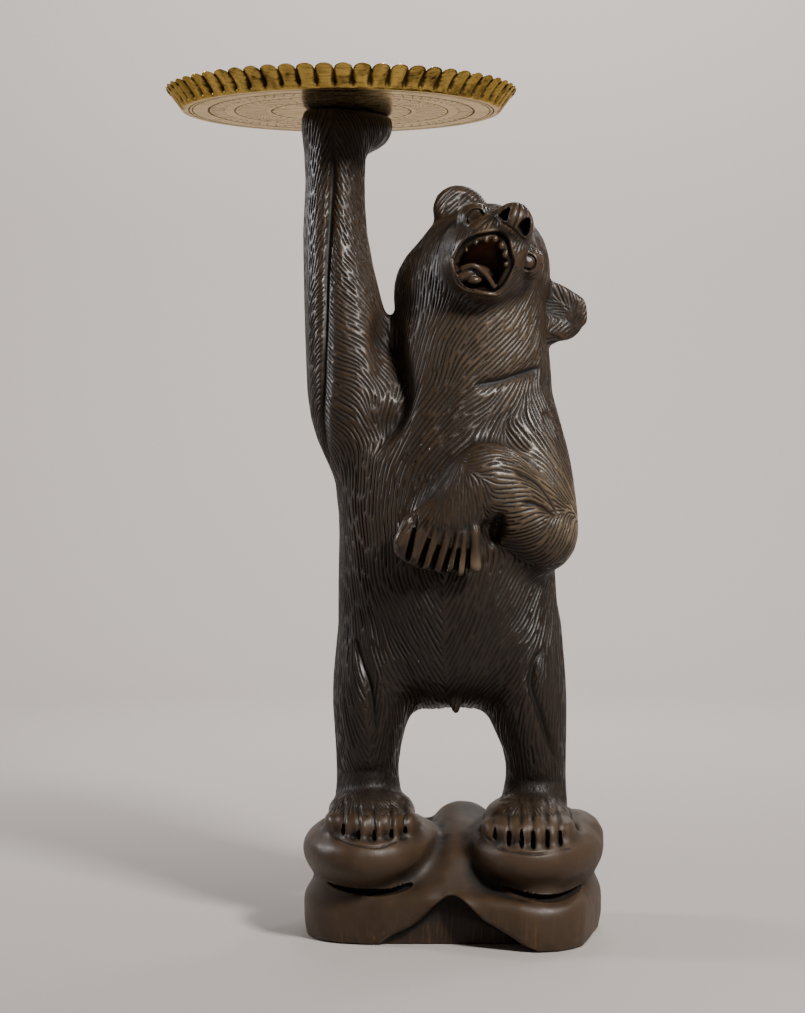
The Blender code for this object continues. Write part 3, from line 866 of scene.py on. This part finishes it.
def opened(form, surface):
    """The mouth and nostrils are opened, and gum, teeth, tongue, lips and eyes are left standing."""
    cut(form, openings(surface))
    cut(form, slots(surface))
    absorb(form, mouth_and_eyes(surface))


def main_cuts(surface):
    """The folds, partings and gaps that are deeper than the fur."""
    lines = Lines()
    for routes, width, depth in FOLDS:
        for route in routes:
            lines.route(surface.line(route), width, depth)
    lines.route(surface.line([*MOUTH, MOUTH[0]]), 2.2, 1.2, taper=0.1)
    for middle, radii, turn in EYES:
        lines.route(surface.ring(middle, radii, turn), 2, 3, taper=0.1)
    for slot in SLOTS:
        lines.route(surface.line(slot), 12, 1.6, taper=30)
    for (across, top), (_, low) in toe_gaps():
        lines.route(surface.line([(across, top + 16), (across, top), (across, low)]), 4, 2.2, taper=9)
    for (x, z), (u, w) in FINGER_GAPS:
        above = (1.2 * x - 0.2 * u, 1.2 * z - 0.2 * w)
        lines.route(surface.line([above, (x, z), (u, w)]), 3.6, 2.4, taper=7)
    for edge in FOOT_EDGES:
        lines.route(surface.line([(across, up - 4) for across, up in edge]), 2.6, 1.8)
    return lines


def fur_guides(surface):
    """Each guide's place, the way the skin faces there and the way the fur lies."""
    guides = []
    for rows, side in ((FRONT_FUR, -1), (BACK_FUR, 1)):
        for across, up, lean in rows:
            place, facing = surface.seen(across, up, side)
            if not place:
                continue
            angle = math.radians(lean)
            along = Vector((math.sin(angle), 0, -math.cos(angle)))
            along = (along - facing * along.dot(facing)).normalized()
            guides.append((np.array(place), np.array(facing), np.array(along)))
    return guides


def flow(surface):
    """Which way the fur lies on each face of the skin."""
    places, normals = surface.centres, surface.normals
    total = np.zeros_like(places)
    soft = (8 * PART) ** 2
    for at, facing, along in fur_guides(surface):
        far = np.sum((places - at) ** 2, axis=1)
        weight = np.clip(normals @ facing, 0.02, 1) / (far + soft) ** 2
        total += weight[:, None] * along
    along = flat_on(normals, total)
    for route, reach, opening in PARTINGS:
        line = smooth_line(surface.line(route), 4) * PART
        heading = np.gradient(line, axis=0)
        heading /= np.linalg.norm(heading, axis=1)[:, None]
        close = np.flatnonzero(
            (places > line.min(axis=0) - reach * PART).all(axis=1)
            & (places < line.max(axis=0) + reach * PART).all(axis=1)
        )
        gaps = places[close][:, None, :] - line[None]
        far = np.linalg.norm(gaps, axis=2)
        nearest = far.argmin(axis=1)
        far = far[np.arange(len(close)), nearest]
        gap = gaps[np.arange(len(close)), nearest]
        ahead = flat_on(normals[close], heading[nearest])
        aside = np.cross(normals[close], ahead)
        side = np.sign(np.sum(gap * aside, axis=1))
        angle = math.radians(opening) * side
        turned = ahead * np.cos(angle)[:, None] + aside * np.sin(angle)[:, None]
        share = (np.clip(1 - far / (reach * PART), 0, 1) ** 0.6)[:, None]
        along[close] = flat_on(normals[close], along[close] * (1 - share) + turned * share)
    return along


def flat_on(normals, ways):
    ways = ways - normals * np.sum(ways * normals, axis=1)[:, None]
    return ways / np.maximum(np.linalg.norm(ways, axis=1), 1e-9)[:, None]


def inside(outline, places, swell=1.0):
    """Which of the places lie within an outline seen from the front, made larger by the swell."""
    corners = np.array(outline)
    corners = corners.mean(axis=0) + (corners - corners.mean(axis=0)) * swell
    across, up = places[:, 0] / PART, places[:, 2] / PART
    found = np.zeros(len(places), bool)
    for (x, z), (u, w) in zip(corners, np.roll(corners, -1, axis=0)):
        crosses = (z > up) != (w > up)
        found ^= crosses & (across < (u - x) * (up - z) / (w - z + 1e-12) + x)
    return found & (places[:, 1] < 0)


def near(places, centre, reach):
    """1 at a place, falling to 0 at its reach, in parts."""
    far = np.linalg.norm(places / PART - np.array(centre), axis=1) / reach
    return np.clip(1 - far, 0, 1)


def coat(surface, settings):
    """Gap, depth and length of the strokes on each face, and 0 for the depth where it is smooth."""
    places = surface.centres
    usual = np.array([settings.gap, settings.depth, settings.length])
    rows = np.tile(usual, (len(places), 1))
    for centre, reach, *finer in FINER_COAT:
        share = np.clip(1.6 * near(places, centre, reach), 0, 1)[:, None]
        rows = rows * (1 - share) + np.array(finer) * PART * share
    across, back, up = (places / PART).T
    smooth = (up < SMOOTH_BELOW) | inside(MOUTH, places, 1.1)
    for low, high in BARE:
        smooth |= ((places / PART > low) & (places / PART < high)).all(axis=1)
    for middle, _, _ in EYES:
        smooth |= (np.hypot(across - middle[0], up - middle[1]) < EYE_BARE) & (back < 0)
    rows[smooth, 1] = 0
    return rows


class Gouge:
    """Lays strokes side by side along the fur, each traced until it runs into another."""

    CELL = 0.005
    # Shares of the gap: between two strokes side by side, to start a stroke and to go on with it
    BESIDE = 1.02
    ROOM_TO_START = 0.88
    ROOM_TO_GO_ON = 0.5
    # The least that two steps agree in direction, where 1 is straight on
    STRAIGHT = 0.7
    STRENGTHS = (0.7, 0.9, 1.0, 1.0, 1.15, 1.4)
    FIRST_PLACES = 30000

    def __init__(self, surface, settings):
        self.surface = surface
        self.along = flow(surface)
        self.coat = coat(surface, settings)
        self.drawn = {}
        self.chance = random.Random(SEED)
        self.lines = Lines()

    def cell(self, place):
        return tuple(int(math.floor(c / self.CELL)) for c in place)

    def crowded(self, place, gap):
        """Whether another stroke runs nearer than the gap."""
        x, y, z = place
        i, j, k = self.cell(place)
        limit = gap * gap
        for a in (i - 1, i, i + 1):
            for b in (j - 1, j, j + 1):
                for c in (k - 1, k, k + 1):
                    for u, v, w in self.drawn.get((a, b, c), ()):
                        if (u - x) ** 2 + (v - y) ** 2 + (w - z) ** 2 < limit:
                            return True
        return False

    def onto(self, place):
        place, _, face, _ = self.surface.tree.find_nearest(place)
        return place, face

    def run(self, place, face, steps, sign):
        """Points from a place along the fur, forwards or backwards."""
        found = []
        step = LINE_STEP * PART
        way = Vector(self.along[face]) * sign
        for _ in range(steps):
            place, face = self.onto(place + way * step)
            gap, depth, _ = self.coat[face]
            turn = Vector(self.along[face]) * sign
            if depth == 0 or turn.dot(way) < self.STRAIGHT:
                break
            if self.crowded(place, gap * self.ROOM_TO_GO_ON):
                break
            found.append(place.copy())
            way = turn
        return found

    def trace(self, place, face):
        """One stroke through a place, or nothing if there is no room for it."""
        gap, depth, length = self.coat[face]
        if depth == 0 or self.crowded(place, gap * self.ROOM_TO_START):
            return None
        steps = int(length / (LINE_STEP * PART) * self.chance.uniform(0.6, 1.35))
        ahead = int(steps * self.chance.uniform(0.25, 0.75))
        before = self.run(place, face, steps - ahead, -1)
        after = self.run(place, face, ahead, 1)
        points = before[::-1] + [place] + after
        if len(points) < 3:
            return None
        for point in points:
            self.drawn.setdefault(self.cell(point), []).append(tuple(point))
        strong = self.chance.choice(self.STRENGTHS)
        width = gap * (0.3 + 0.1 * strong)
        self.lines.draw(points, width, depth * strong, min(4.5, 0.2 * len(points) + 0.6))
        return points

    def lay(self):
        faces = [int(f) for f in np.flatnonzero(self.coat[:, 1] > 0)]
        self.chance.shuffle(faces)
        for face in faces[:: max(1, len(faces) // self.FIRST_PLACES)]:
            place, at = self.onto(Vector(self.surface.centres[face]))
            first = self.trace(place, at)
            waiting = [first] if first else []
            while waiting:
                stroke = waiting.pop(0)
                picks = list(range(0, len(stroke), 3))
                self.chance.shuffle(picks)
                for pick in picks:
                    spot = stroke[pick]
                    _, facing, at, _ = self.surface.tree.find_nearest(spot)
                    aside = facing.cross(Vector(self.along[at]))
                    for sign in (-1, 1):
                        place, there = self.onto(spot + aside * sign * self.coat[at][0] * self.BESIDE)
                        made = self.trace(place, there)
                        if made:
                            waiting.append(made)
        return self.lines


def thin(obj, facets):
    """Fewer triangles where the carving is plain."""
    obj.data.calc_loop_triangles()
    modifier = obj.modifiers.new("facets", "DECIMATE")
    modifier.ratio = min(1.0, facets / len(obj.data.loop_triangles))
    obj.modifiers.new("triangles", "TRIANGULATE")
    settle(obj)


def mark(obj, name, values):
    layer = obj.data.attributes.new(name, "FLOAT", "POINT")
    layer.data.foreach_set("value", np.asarray(values, np.float32))


def relief(obj, *rounds):
    """How far each vertex stands out of its smoothed surroundings, in parts, after some rounds."""
    places = array_of(obj.data.vertices, "co", 3).astype(float)
    facing = array_of(obj.data.vertices, "normal", 3)
    a, b = array_of(obj.data.edges, "vertices", 2, np.int32).T
    count = len(places)
    shared = np.bincount(a, minlength=count) + np.bincount(b, minlength=count)
    smooth = places.copy()
    for n in range(1, max(rounds) + 1):
        for axis in range(3):
            column = smooth[:, axis].copy()
            total = np.bincount(a, column[b], count) + np.bincount(b, column[a], count)
            smooth[:, axis] = total / np.maximum(shared, 1)
        if n in rounds:
            yield np.sum((places - smooth) * facing, axis=1) / PART


def mark_figure(obj):
    """Keeps where the wood is worn and where it gets painted light, where it stands out or lies deep,
    and where it is mouth, hollow or rock.
    """
    places = array_of(obj.data.vertices, "co", 3).astype(float)
    fine, form = relief(obj, 4, 60)
    # Rubbed wear at the elbow, fingertips and muzzle, and painted light on the forearm and throat
    mark(obj, "rubbed", np.max([near(places, at, reach) * gone for at, reach, gone in WORN_AND_LIT], axis=0))
    # Ridges and edges, which the colour lightens as wear with painted highlight, and the hollows between
    # them, which it darkens as stain with painted shade
    mark(obj, "ridge", np.clip(fine / 1.1 + 0.5, 0, 1))
    mark(obj, "edge", np.clip(form / 4.0 + 0.5, 0, 1))
    mark(obj, "mouth", inside(MOUTH, places, 0.99) * np.clip(places[:, 1] / PART / 12 + 8, 0, 1))
    # The rocks' hollow, which the colour darkens as painted shade
    mark(obj, "hollow", inside(HOLLOW, places, 1.02))
    mark(obj, "rock", np.clip((SMOOTH_BELOW - places[:, 2] / PART) / 10, 0, 1))


def shared_sides(faces):
    """Which triangles share all their sides. Thinning leaves a few that hang on by one side."""
    sides = np.sort(np.concatenate([faces[:, [0, 1]], faces[:, [1, 2]], faces[:, [2, 0]]]), axis=1)
    keys = sides[:, 0].astype(np.int64) * 2**32 + sides[:, 1]
    _, places, uses = np.unique(keys, return_inverse=True, return_counts=True)
    return (uses[places].reshape(3, -1) > 1).all(axis=0)


def part_skin(obj):
    """Closed pieces of the skin, each filled where the next one begins, with the skin's own shading."""
    mesh = obj.data
    faces = array_of(mesh.polygons, "vertices", 3, np.int32)
    places = array_of(mesh.vertices, "co", 3)
    normals = array_of(mesh.vertices, "normal", 3)
    fields = {
        layer.name: array_of(layer.data, "value", 1)[:, 0]
        for layer in mesh.attributes
        if layer.data_type == "FLOAT" and layer.domain == "POINT"
    }
    faces = faces[shared_sides(faces)]
    middles = places[faces].mean(axis=1) / PART
    free = np.ones(len(faces), bool)
    pieces = []
    for name, (highest, furthest) in PIECES.items():
        mine = free.copy()
        if highest is not None:
            mine &= middles[:, 2] < highest
        if furthest is not None:
            mine &= middles[:, 0] < furthest
        free &= ~mine
        used, corners = np.unique(faces[mine], return_inverse=True)
        mesh = mesh_from(name, places[used], corners.reshape(-1, 3))
        pieces.append(link(name, mesh))
        for field, values in fields.items():
            mark(pieces[-1], field, values[used])
        facing = mesh.attributes.new("facing", "FLOAT_VECTOR", "POINT")
        facing.data.foreach_set("vector", normals[used].ravel())
        close_borders(mesh)
    bpy.data.objects.remove(obj)
    return pieces


def border_faces(bm):
    """New faces over the open borders, one for each loop of edges. A face on its own is dropped."""
    ahead = {}
    for edge in bm.edges:
        if edge.is_boundary:
            loop = edge.link_loops[0]
            ahead.setdefault(loop.link_loop_next.vert, []).append(loop.vert)
    found = []
    while ahead:
        walk = [next(iter(ahead))]
        while walk[-1] in ahead:
            corner = ahead[walk[-1]].pop()
            if not ahead[walk[-1]]:
                del ahead[walk[-1]]
            if corner in walk:
                first = walk.index(corner)
                alone = bm.faces.get(walk[first:])
                if alone:
                    bmesh.ops.delete(bm, geom=[alone], context="FACES")
                else:
                    found.append(bm.faces.new(walk[first:]))
                del walk[first + 1 :]
            else:
                walk.append(corner)
    return found


def mesh_from(name, places, faces):
    mesh = bpy.data.meshes.new(name)
    mesh.vertices.add(len(places))
    mesh.vertices.foreach_set("co", places.ravel())
    mesh.loops.add(faces.size)
    mesh.loops.foreach_set("vertex_index", faces.ravel().astype(np.int32))
    mesh.polygons.add(len(faces))
    mesh.polygons.foreach_set("loop_start", np.arange(0, faces.size, 3, dtype=np.int32))
    mesh.polygons.foreach_set("use_smooth", np.ones(len(faces), bool))
    mesh.update(calc_edges=True)
    return mesh


def close_borders(mesh):
    """Fills the open borders with flat faces, and keeps the shading of the whole skin on the rest."""
    bm = bmesh.new()
    bm.from_mesh(mesh)
    bmesh.ops.poke(bm, faces=border_faces(bm))
    open_still = sum(edge.is_boundary for edge in bm.edges)
    bm.to_mesh(mesh)
    bm.free()
    if open_still:
        raise RuntimeError(f"{mesh.name} has {open_still} open edges")
    corners = array_of(mesh.loops, "vertex_index", 1, np.int32)[:, 0]
    carved = np.repeat(array_of(mesh.polygons, "use_smooth", 1, bool), 3, axis=0)
    facing = mesh.attributes["facing"]
    given = array_of(facing.data, "vector", 3)[corners] * carved
    mesh.attributes.remove(facing)
    mesh.normals_split_custom_set(given.tolist())


def material_and_place(name):
    material = bpy.data.materials.new(name)
    material.use_nodes = True
    tree = material.node_tree
    tree.nodes.clear()
    return material, tree, add(tree, "ShaderNodeTexCoord", output="Object")


def mixed(tree, factor, a, b):
    a, b = [value if isinstance(value, Wire) else (*value, 1) for value in (a, b)]
    return add(tree, "ShaderNodeMix", {"data_type": "RGBA"}, {0: factor, 6: a, 7: b}, 2)


def finish_with(tree, values):
    shader = add(tree, "ShaderNodeBsdfPrincipled", None, values)
    out = tree.nodes.new("ShaderNodeOutputMaterial")
    tree.links.new(shader.socket, out.inputs["Surface"])


def kept(tree, name):
    return add(tree, "ShaderNodeAttribute", {"attribute_name": name}, output="Fac")


def grain(tree, place, scale, detail, stretch=(1, 1, 1)):
    laid = add(tree, "ShaderNodeMapping", None, {"Vector": place, "Scale": stretch})
    return add(tree, "ShaderNodeTexNoise", None, {"Vector": laid, "Scale": scale, "Detail": detail})


def wood_material(settings):
    material, tree, place = material_and_place("dark_waxed_wood")
    names = ("cut", "rubbed", "mouth", "rock", "ridge", "edge", "hollow")
    cuts, rubbed, mouth, rock, ridge, edge, hollow = [kept(tree, name) for name in names]
    broad = grain(tree, place, 9, 3, (1, 1, 0.35))
    blotch = grain(tree, place, 38, 4, (1, 1, 0.6))
    streak = grain(tree, place, 330, 3, (1, 1, 0.06))
    pores = grain(tree, place, 900, 2, (1, 1, 0.08))
    height = add(tree, "ShaderNodeSeparateXYZ", None, [place], "Z")
    # Edges and ridges, lightened below as wear with painted highlight; creases and valleys, darkened as
    # stain with painted shade
    convex = edge.within(0.58, 0.95)
    deep = (0.5 - edge).within(0.06, 0.4)
    high = ridge.within(0.55, 0.95)
    low = (1 - ridge).within(0.5, 0.85)
    # Random tone, with the ridges lightened as wear and painted highlight
    worn = broad.within(0.45, 0.75) * 0.3 + blotch.within(0.5, 0.75) * 0.2 + high * 0.4
    # Painted shade: the belly and legs are made darker between about 0.13 and 0.4 m high
    legs = (height - 0.13).within(0, 0.03) * (0.4 - height).within(0, 0.07)
    flecks = streak.within(0.55, 0.7) * rock * (0.045 - height).within(0, 0.04) * broad.within(0.4, 0.6)
    colour = settings.wood
    for share, over in (
        (worn + convex * 0.2 + rock * 0.2, settings.rubbed),
        # Painted shade on the belly, the legs and the rocks' hollow
        (legs * 0.7 + hollow * 0.6, PAINTED_SHADE),
        # Rubbed wear, and painted light on the forearm and throat, strongest on the ridges as painted
        # highlight
        (rubbed * (0.35 + high * 0.65), settings.bare_and_lit),
        (flecks * 0.55, FLECKS),
        # Stain that gathers in the cuts, with painted shade in the valleys and concave creases
        ((cuts * 0.7 + low * 0.75 + deep * 0.6) * (1 - flecks), CUT_STAIN_AND_SHADE),
        (mouth * (1 - convex * 0.5), mixed(tree, blotch.within(0.46, 0.66), *LINING)),
    ):
        colour = mixed(tree, share.clamped(), colour, over)
    rough = 0.42 + cuts * 0.25 + (broad - 0.5) * 0.4 + (pores - 0.5) * 0.12
    rough = rough - high * 0.06 + deep * 0.2 + rock * 0.1
    finish_with(tree, {
        "Base Color": colour,
        "Roughness": rough.clamped(),
        "Specular IOR Level": 0.31,
        "Normal": add(
            tree, "ShaderNodeBump", None,
            {"Strength": 0.35, "Distance": 0.0004, "Height": pores * 0.6 + streak * 0.8},
        ),
    })
    return material


def groove(distance, width):
    """1 on the line where the distance is 0."""
    return 1 - distance.math("ABSOLUTE").within(width * 0.4, width)


def engraving(radius, angle, drift):
    """1 in the lines cut into the tray's floor: rings, waves that cross as petals, and scrolls."""
    rings = groove((radius + 0.0035).math("PINGPONG", 0.0085), 0.0009)
    engraved = rings * groove(radius - 0.144, 0.012).math("CEIL")
    for petals, middle, swing, width in PETALS:
        for shift in (0, math.pi):
            wave = (angle * petals + shift).math("SINE")
            engraved = engraved.math("MAXIMUM", groove(radius - middle - wave * swing, width))
    for ring in RINGS:
        engraved = engraved.math("MAXIMUM", groove(radius - ring, 0.0011))
    scroll = (angle * 48 + radius * 900 + drift * 6).math("SINE")
    scroll = groove(scroll, 0.22) * groove(radius - 0.09, 0.016) * 0.7
    return engraved.math("MAXIMUM", scroll) * (0.1575 - radius).within(0, 0.001)


def brass_material(settings):
    material, tree, place = material_and_place("engraved_brass")
    moved = add(tree, "ShaderNodeMapping", None, {"Vector": place, "Location": -TRAY_MIDDLE})
    across, back = [add(tree, "ShaderNodeSeparateXYZ", None, [moved], axis) for axis in "XY"]
    radius = (across * across + back * back) ** 0.5
    engraved = engraving(radius, back.math("ARCTAN2", across), grain(tree, place, 55, 2) - 0.5)
    fine = grain(tree, place, 420, 3, (0.12, 1, 1))
    stain = grain(tree, place, 60, 5)
    rim = radius.within(0.156, 0.159)
    dirt = kept(tree, "fold") * 1.1 + stain.within(0.46, 0.7) * rim * 0.7
    dirt = dirt + engraved * 0.85 + fine.within(0.45, 0.75) * 0.6
    brass = mixed(tree, rim, settings.pale, settings.brass)
    finish_with(tree, {
        "Base Color": mixed(tree, dirt.clamped(), brass, TARNISH),
        "Roughness": (0.15 + dirt * 0.4 + rim * 0.02).clamped(),
        "Metallic": 1.0,
        "Specular Tint": (0.85, 0.71, 0.5, 1),
        "Normal": add(
            tree, "ShaderNodeBump", {"invert": True},
            {"Strength": 1.0, "Distance": 0.0003, "Height": engraved + fine * 0.5},
        ),
    })
    return material


def tray_profile(settings):
    """The tray's section, from the middle of its underside over its rim to the middle of its top.

    Each row holds the radius, the height, how deep the folds are, how much of a lobe they take
    and how far the edge dips between two lobes.
    """
    reach = (TRAY_HIGH.x - TRAY_LOW.x) / 2
    height = TRAY_HIGH.z - TRAY_LOW.z
    floor, wall = settings.floor, settings.wall
    flat = [(floor * share, 0, 0, 0.3, 0) for share in FLOOR_SHARES]
    outside = [
        (floor + (reach - floor) * out, height * up, settings.pinch * deep, wide, dip)
        for out, up, deep, wide, dip in FLARE
    ]
    *_, deep, wide, _ = outside[-1]
    edge = [(reach, height, deep, wide, 1), (reach - wall * 0.8, height - wall * 0.1, deep, wide, 1)]
    within = [(radius - wall, max(up, wall), *rest) for radius, up, *rest in reversed(outside)]
    top = [(radius, wall, *rest) for radius, _, *rest in reversed(flat)]
    return flat + outside + edge + within + top


def tray_tree():
    """Turns a section into a tray whose wall is folded in between the lobes."""
    inputs = {
        "Made": "Geometry", "Section": "Object", "Centre": "Vector", "Lobes": "Int", "Turn": "Float",
        "Columns": "Int", "Dip": "Float", "Finish": "Material",
    }
    tree, (_, section, centre, lobes, turn, columns, dip, finish) = new_tree("lobed_tray", inputs)
    drawn = points_of(tree, section)
    rows = add(tree, "GeometryNodeAttributeDomainSize", None, [drawn], "Point Count")
    around = lobes * columns
    grid = add(
        tree, "GeometryNodeMeshGrid", None,
        {"Size X": 1.0, "Size Y": 1.0, "Vertices X": around + 1, "Vertices Y": rows}, "Mesh",
    )
    index = add(tree, "GeometryNodeInputIndex")
    row = index.math("FLOORED_MODULO", rows)
    column = (index / rows).math("FLOOR")
    radius, height, deep, wide, drop = said_by(tree, drawn, SECTION_FIELDS, row)
    lobe = column / columns
    apart = lobe.math("PINGPONG", 0.5) * 2
    into = (apart / wide).clamped()
    fold = 1 - into * into * (3 - 2 * into)
    arc = (1 - (1 - apart) * (1 - apart)) ** 0.5
    bulge = fold.math("MAXIMUM", (1 - arc) * BULGE)
    radius = radius - bulge * deep
    height = height - (1 - arc) * drop * dip
    angle = column / around * (2 * math.pi) + turn
    place = add(
        tree, "ShaderNodeCombineXYZ", None,
        [radius * angle.math("COSINE"), radius * angle.math("SINE"), height],
    )
    place = add(tree, "ShaderNodeVectorMath", {"operation": "ADD"}, [place, centre])
    marked = stored(tree, grid, "fold", fold * (deep * 400).clamped())
    bent = add(tree, "GeometryNodeSetPosition", None, {"Geometry": marked, "Position": place})
    closed = add(tree, "GeometryNodeMergeByDistance", None, {"Geometry": bent, "Distance": 1e-6})
    smooth = add(tree, "GeometryNodeSetShadeSmooth", None, {"Geometry": closed, "Shade Smooth": True})
    return end_tree(tree, smooth, finish)


def pressed_tray(settings, finish):
    rows = tray_profile(settings)
    mesh = bpy.data.meshes.new("section")
    mesh.from_pydata([(row[0], 0, row[1]) for row in rows], [], [])
    section = link("section", mesh)
    for n, name in enumerate(SECTION_FIELDS):
        mark(section, name, [row[n] for row in rows])
    tray = link("lobed_brass_tray", bpy.data.meshes.new("lobed_brass_tray"))
    grow(tray, tray_tree(), {
        "Section": section,
        "Centre": (TRAY_MIDDLE.x, TRAY_MIDDLE.y, TRAY_LOW.z),
        "Lobes": settings.lobes,
        "Columns": LOBE_COLUMNS,
        "Turn": math.pi * (1 / settings.lobes - 0.5) + settings.turn,
        "Dip": settings.dip,
        "Finish": finish,
    })
    bpy.data.objects.remove(section)
    return tray


def face_outwards(obj):
    bm = bmesh.new()
    bm.from_mesh(obj.data)
    bmesh.ops.recalc_face_normals(bm, faces=bm.faces[:])
    bm.to_mesh(obj.data)
    bm.free()


class CARVEDBEAR_OT_figure(bpy.types.Operator):
    """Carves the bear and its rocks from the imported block."""

    bl_idname = "carved_bear.figure"
    bl_label = "Carve the figure"

    def execute(self, context):
        settings = context.scene.bear_carving
        finish = wood_material(settings)
        figure = closed_form()
        surface = Surface(figure)
        strokes = Gouge(surface, settings).lay()
        folds = main_cuts(surface)
        opened(figure, surface)
        fuse(figure, SKIN_GRAIN, 2)
        scoops = bpy.data.node_groups.get("adze_marks") or adze_tree()
        grow(figure, scoops, {"Scoop": settings.scoop, "Across": SCOOP_WIDTH, "Finish": finish})
        carve(figure, folds, "fold", finish)
        carve(figure, strokes, "cut", finish)
        thin(figure, settings.facets)
        mark_figure(figure)
        for piece in part_skin(figure):
            piece.data.materials.append(finish)
            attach(piece, "root")
            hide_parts("carved_bear")
        return {"FINISHED"}


class CARVEDBEAR_OT_tray(bpy.types.Operator):
    """Presses the lobed brass tray."""

    bl_idname = "carved_bear.tray"
    bl_label = "Press the tray"

    def execute(self, context):
        settings = context.scene.bear_tray
        tray = pressed_tray(settings, brass_material(settings))
        face_outwards(tray)
        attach(tray, "root")
        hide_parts("brass_tray")
        return {"FINISHED"}


class CARVEDBEAR_OT_stage(bpy.types.Operator):
    """Sets up the pale paper, the lights and the camera."""

    bl_idname = "carved_bear.stage"
    bl_label = "Set the stage"

    def execute(self, context):
        set_stage(context.scene.bear_stage)
        return {"FINISHED"}


def paper(settings):
    """A round floor that turns up all round into a backdrop, so that every side has paper behind it."""
    reach, bend, high, around, steps = 3.3, 1.0, 3.6, 96, 14
    profile = []
    for n in range(steps + 1):
        angle = math.pi / 2 * n / steps
        profile.append((reach - bend + bend * math.sin(angle), bend - bend * math.cos(angle)))
    profile.append((reach, high))
    bm = bmesh.new()
    rings = []
    for radius, up in profile:
        ways = [2 * math.pi * n / around for n in range(around)]
        rings.append([bm.verts.new((radius * math.cos(w), radius * math.sin(w), up)) for w in ways])
    bm.faces.new(rings[0])
    for lower, upper in zip(rings, rings[1:]):
        for k in range(around):
            bm.faces.new((lower[k - 1], upper[k - 1], upper[k], lower[k]))
    sheet = object_from(bm, "paper_backdrop")
    sheet.data.polygons.foreach_set("use_smooth", np.ones(len(sheet.data.polygons), bool))
    material = bpy.data.materials.new("pale_paper")
    material.use_nodes = True
    shader = material.node_tree.nodes["Principled BSDF"]
    shader.inputs["Base Color"].default_value = (*settings.backdrop, 1)
    shader.inputs["Roughness"].default_value = 0.85
    sheet.data.materials.append(material)


def soft_light(name, power, place, target, size, colour):
    data = bpy.data.lights.new(name, "AREA")
    data.shape = "RECTANGLE"
    data.size, data.size_y = size
    data.energy = power
    data.color = colour
    lamp = link(name, data)
    lamp.location = place
    lamp.rotation_euler = (Vector(target) - Vector(place)).to_track_quat("-Z", "Y").to_euler()


def set_stage(settings):
    paper(settings)
    for name, lamp in LAMPS.items():
        soft_light(name, getattr(settings, name), *lamp)
    world = bpy.data.worlds.new("studio")
    world.use_nodes = True
    sky = world.node_tree.nodes["Background"].inputs
    sky["Color"].default_value = (0.95, 0.96, 1.0, 1)
    sky["Strength"].default_value = 0.02
    bpy.context.scene.world = world
    data = bpy.data.cameras.new("camera")
    data.sensor_width = CAMERA_SENSOR
    data.lens = CAMERA_LENS
    camera = link("camera", data)
    camera.location = CAMERA_PLACE
    camera.rotation_euler = (CAMERA_PITCH, 0, 0)
    bpy.context.scene.camera = camera


class CARVEDBEAR_PT_panel(bpy.types.Panel):
    """Lists what can be made."""

    bl_label = "Carved bear"
    bl_idname = "CARVEDBEAR_PT_panel"
    bl_space_type = "VIEW_3D"
    bl_region_type = "UI"
    bl_category = "Carved bear"

    def draw(self, context):
        for settings, operator in (
            (context.scene.bear_carving, CARVEDBEAR_OT_figure),
            (context.scene.bear_tray, CARVEDBEAR_OT_tray),
            (context.scene.bear_stage, CARVEDBEAR_OT_stage),
        ):
            box = self.layout.box()
            for name in settings.__annotations__:
                box.prop(settings, name)
            box.operator(operator.bl_idname)


SETTINGS = {
    "bear_carving": CarvingSettings,
    "bear_tray": TraySettings,
    "bear_stage": StageSettings,
}
CLASSES = (
    *SETTINGS.values(),
    CARVEDBEAR_OT_figure,
    CARVEDBEAR_OT_tray,
    CARVEDBEAR_OT_stage,
    CARVEDBEAR_PT_panel,
)


def register():
    for cls in CLASSES:
        bpy.utils.register_class(cls)
    for name, cls in SETTINGS.items():
        setattr(bpy.types.Scene, name, bpy.props.PointerProperty(type=cls))


def unregister():
    for name in SETTINGS:
        delattr(bpy.types.Scene, name)
    for cls in reversed(CLASSES):
        bpy.utils.unregister_class(cls)


def main():
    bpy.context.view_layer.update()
    register()
    bpy.ops.carved_bear.figure()
    bpy.ops.carved_bear.tray()
    bpy.ops.carved_bear.stage()


if __name__ == "__main__":
    main()
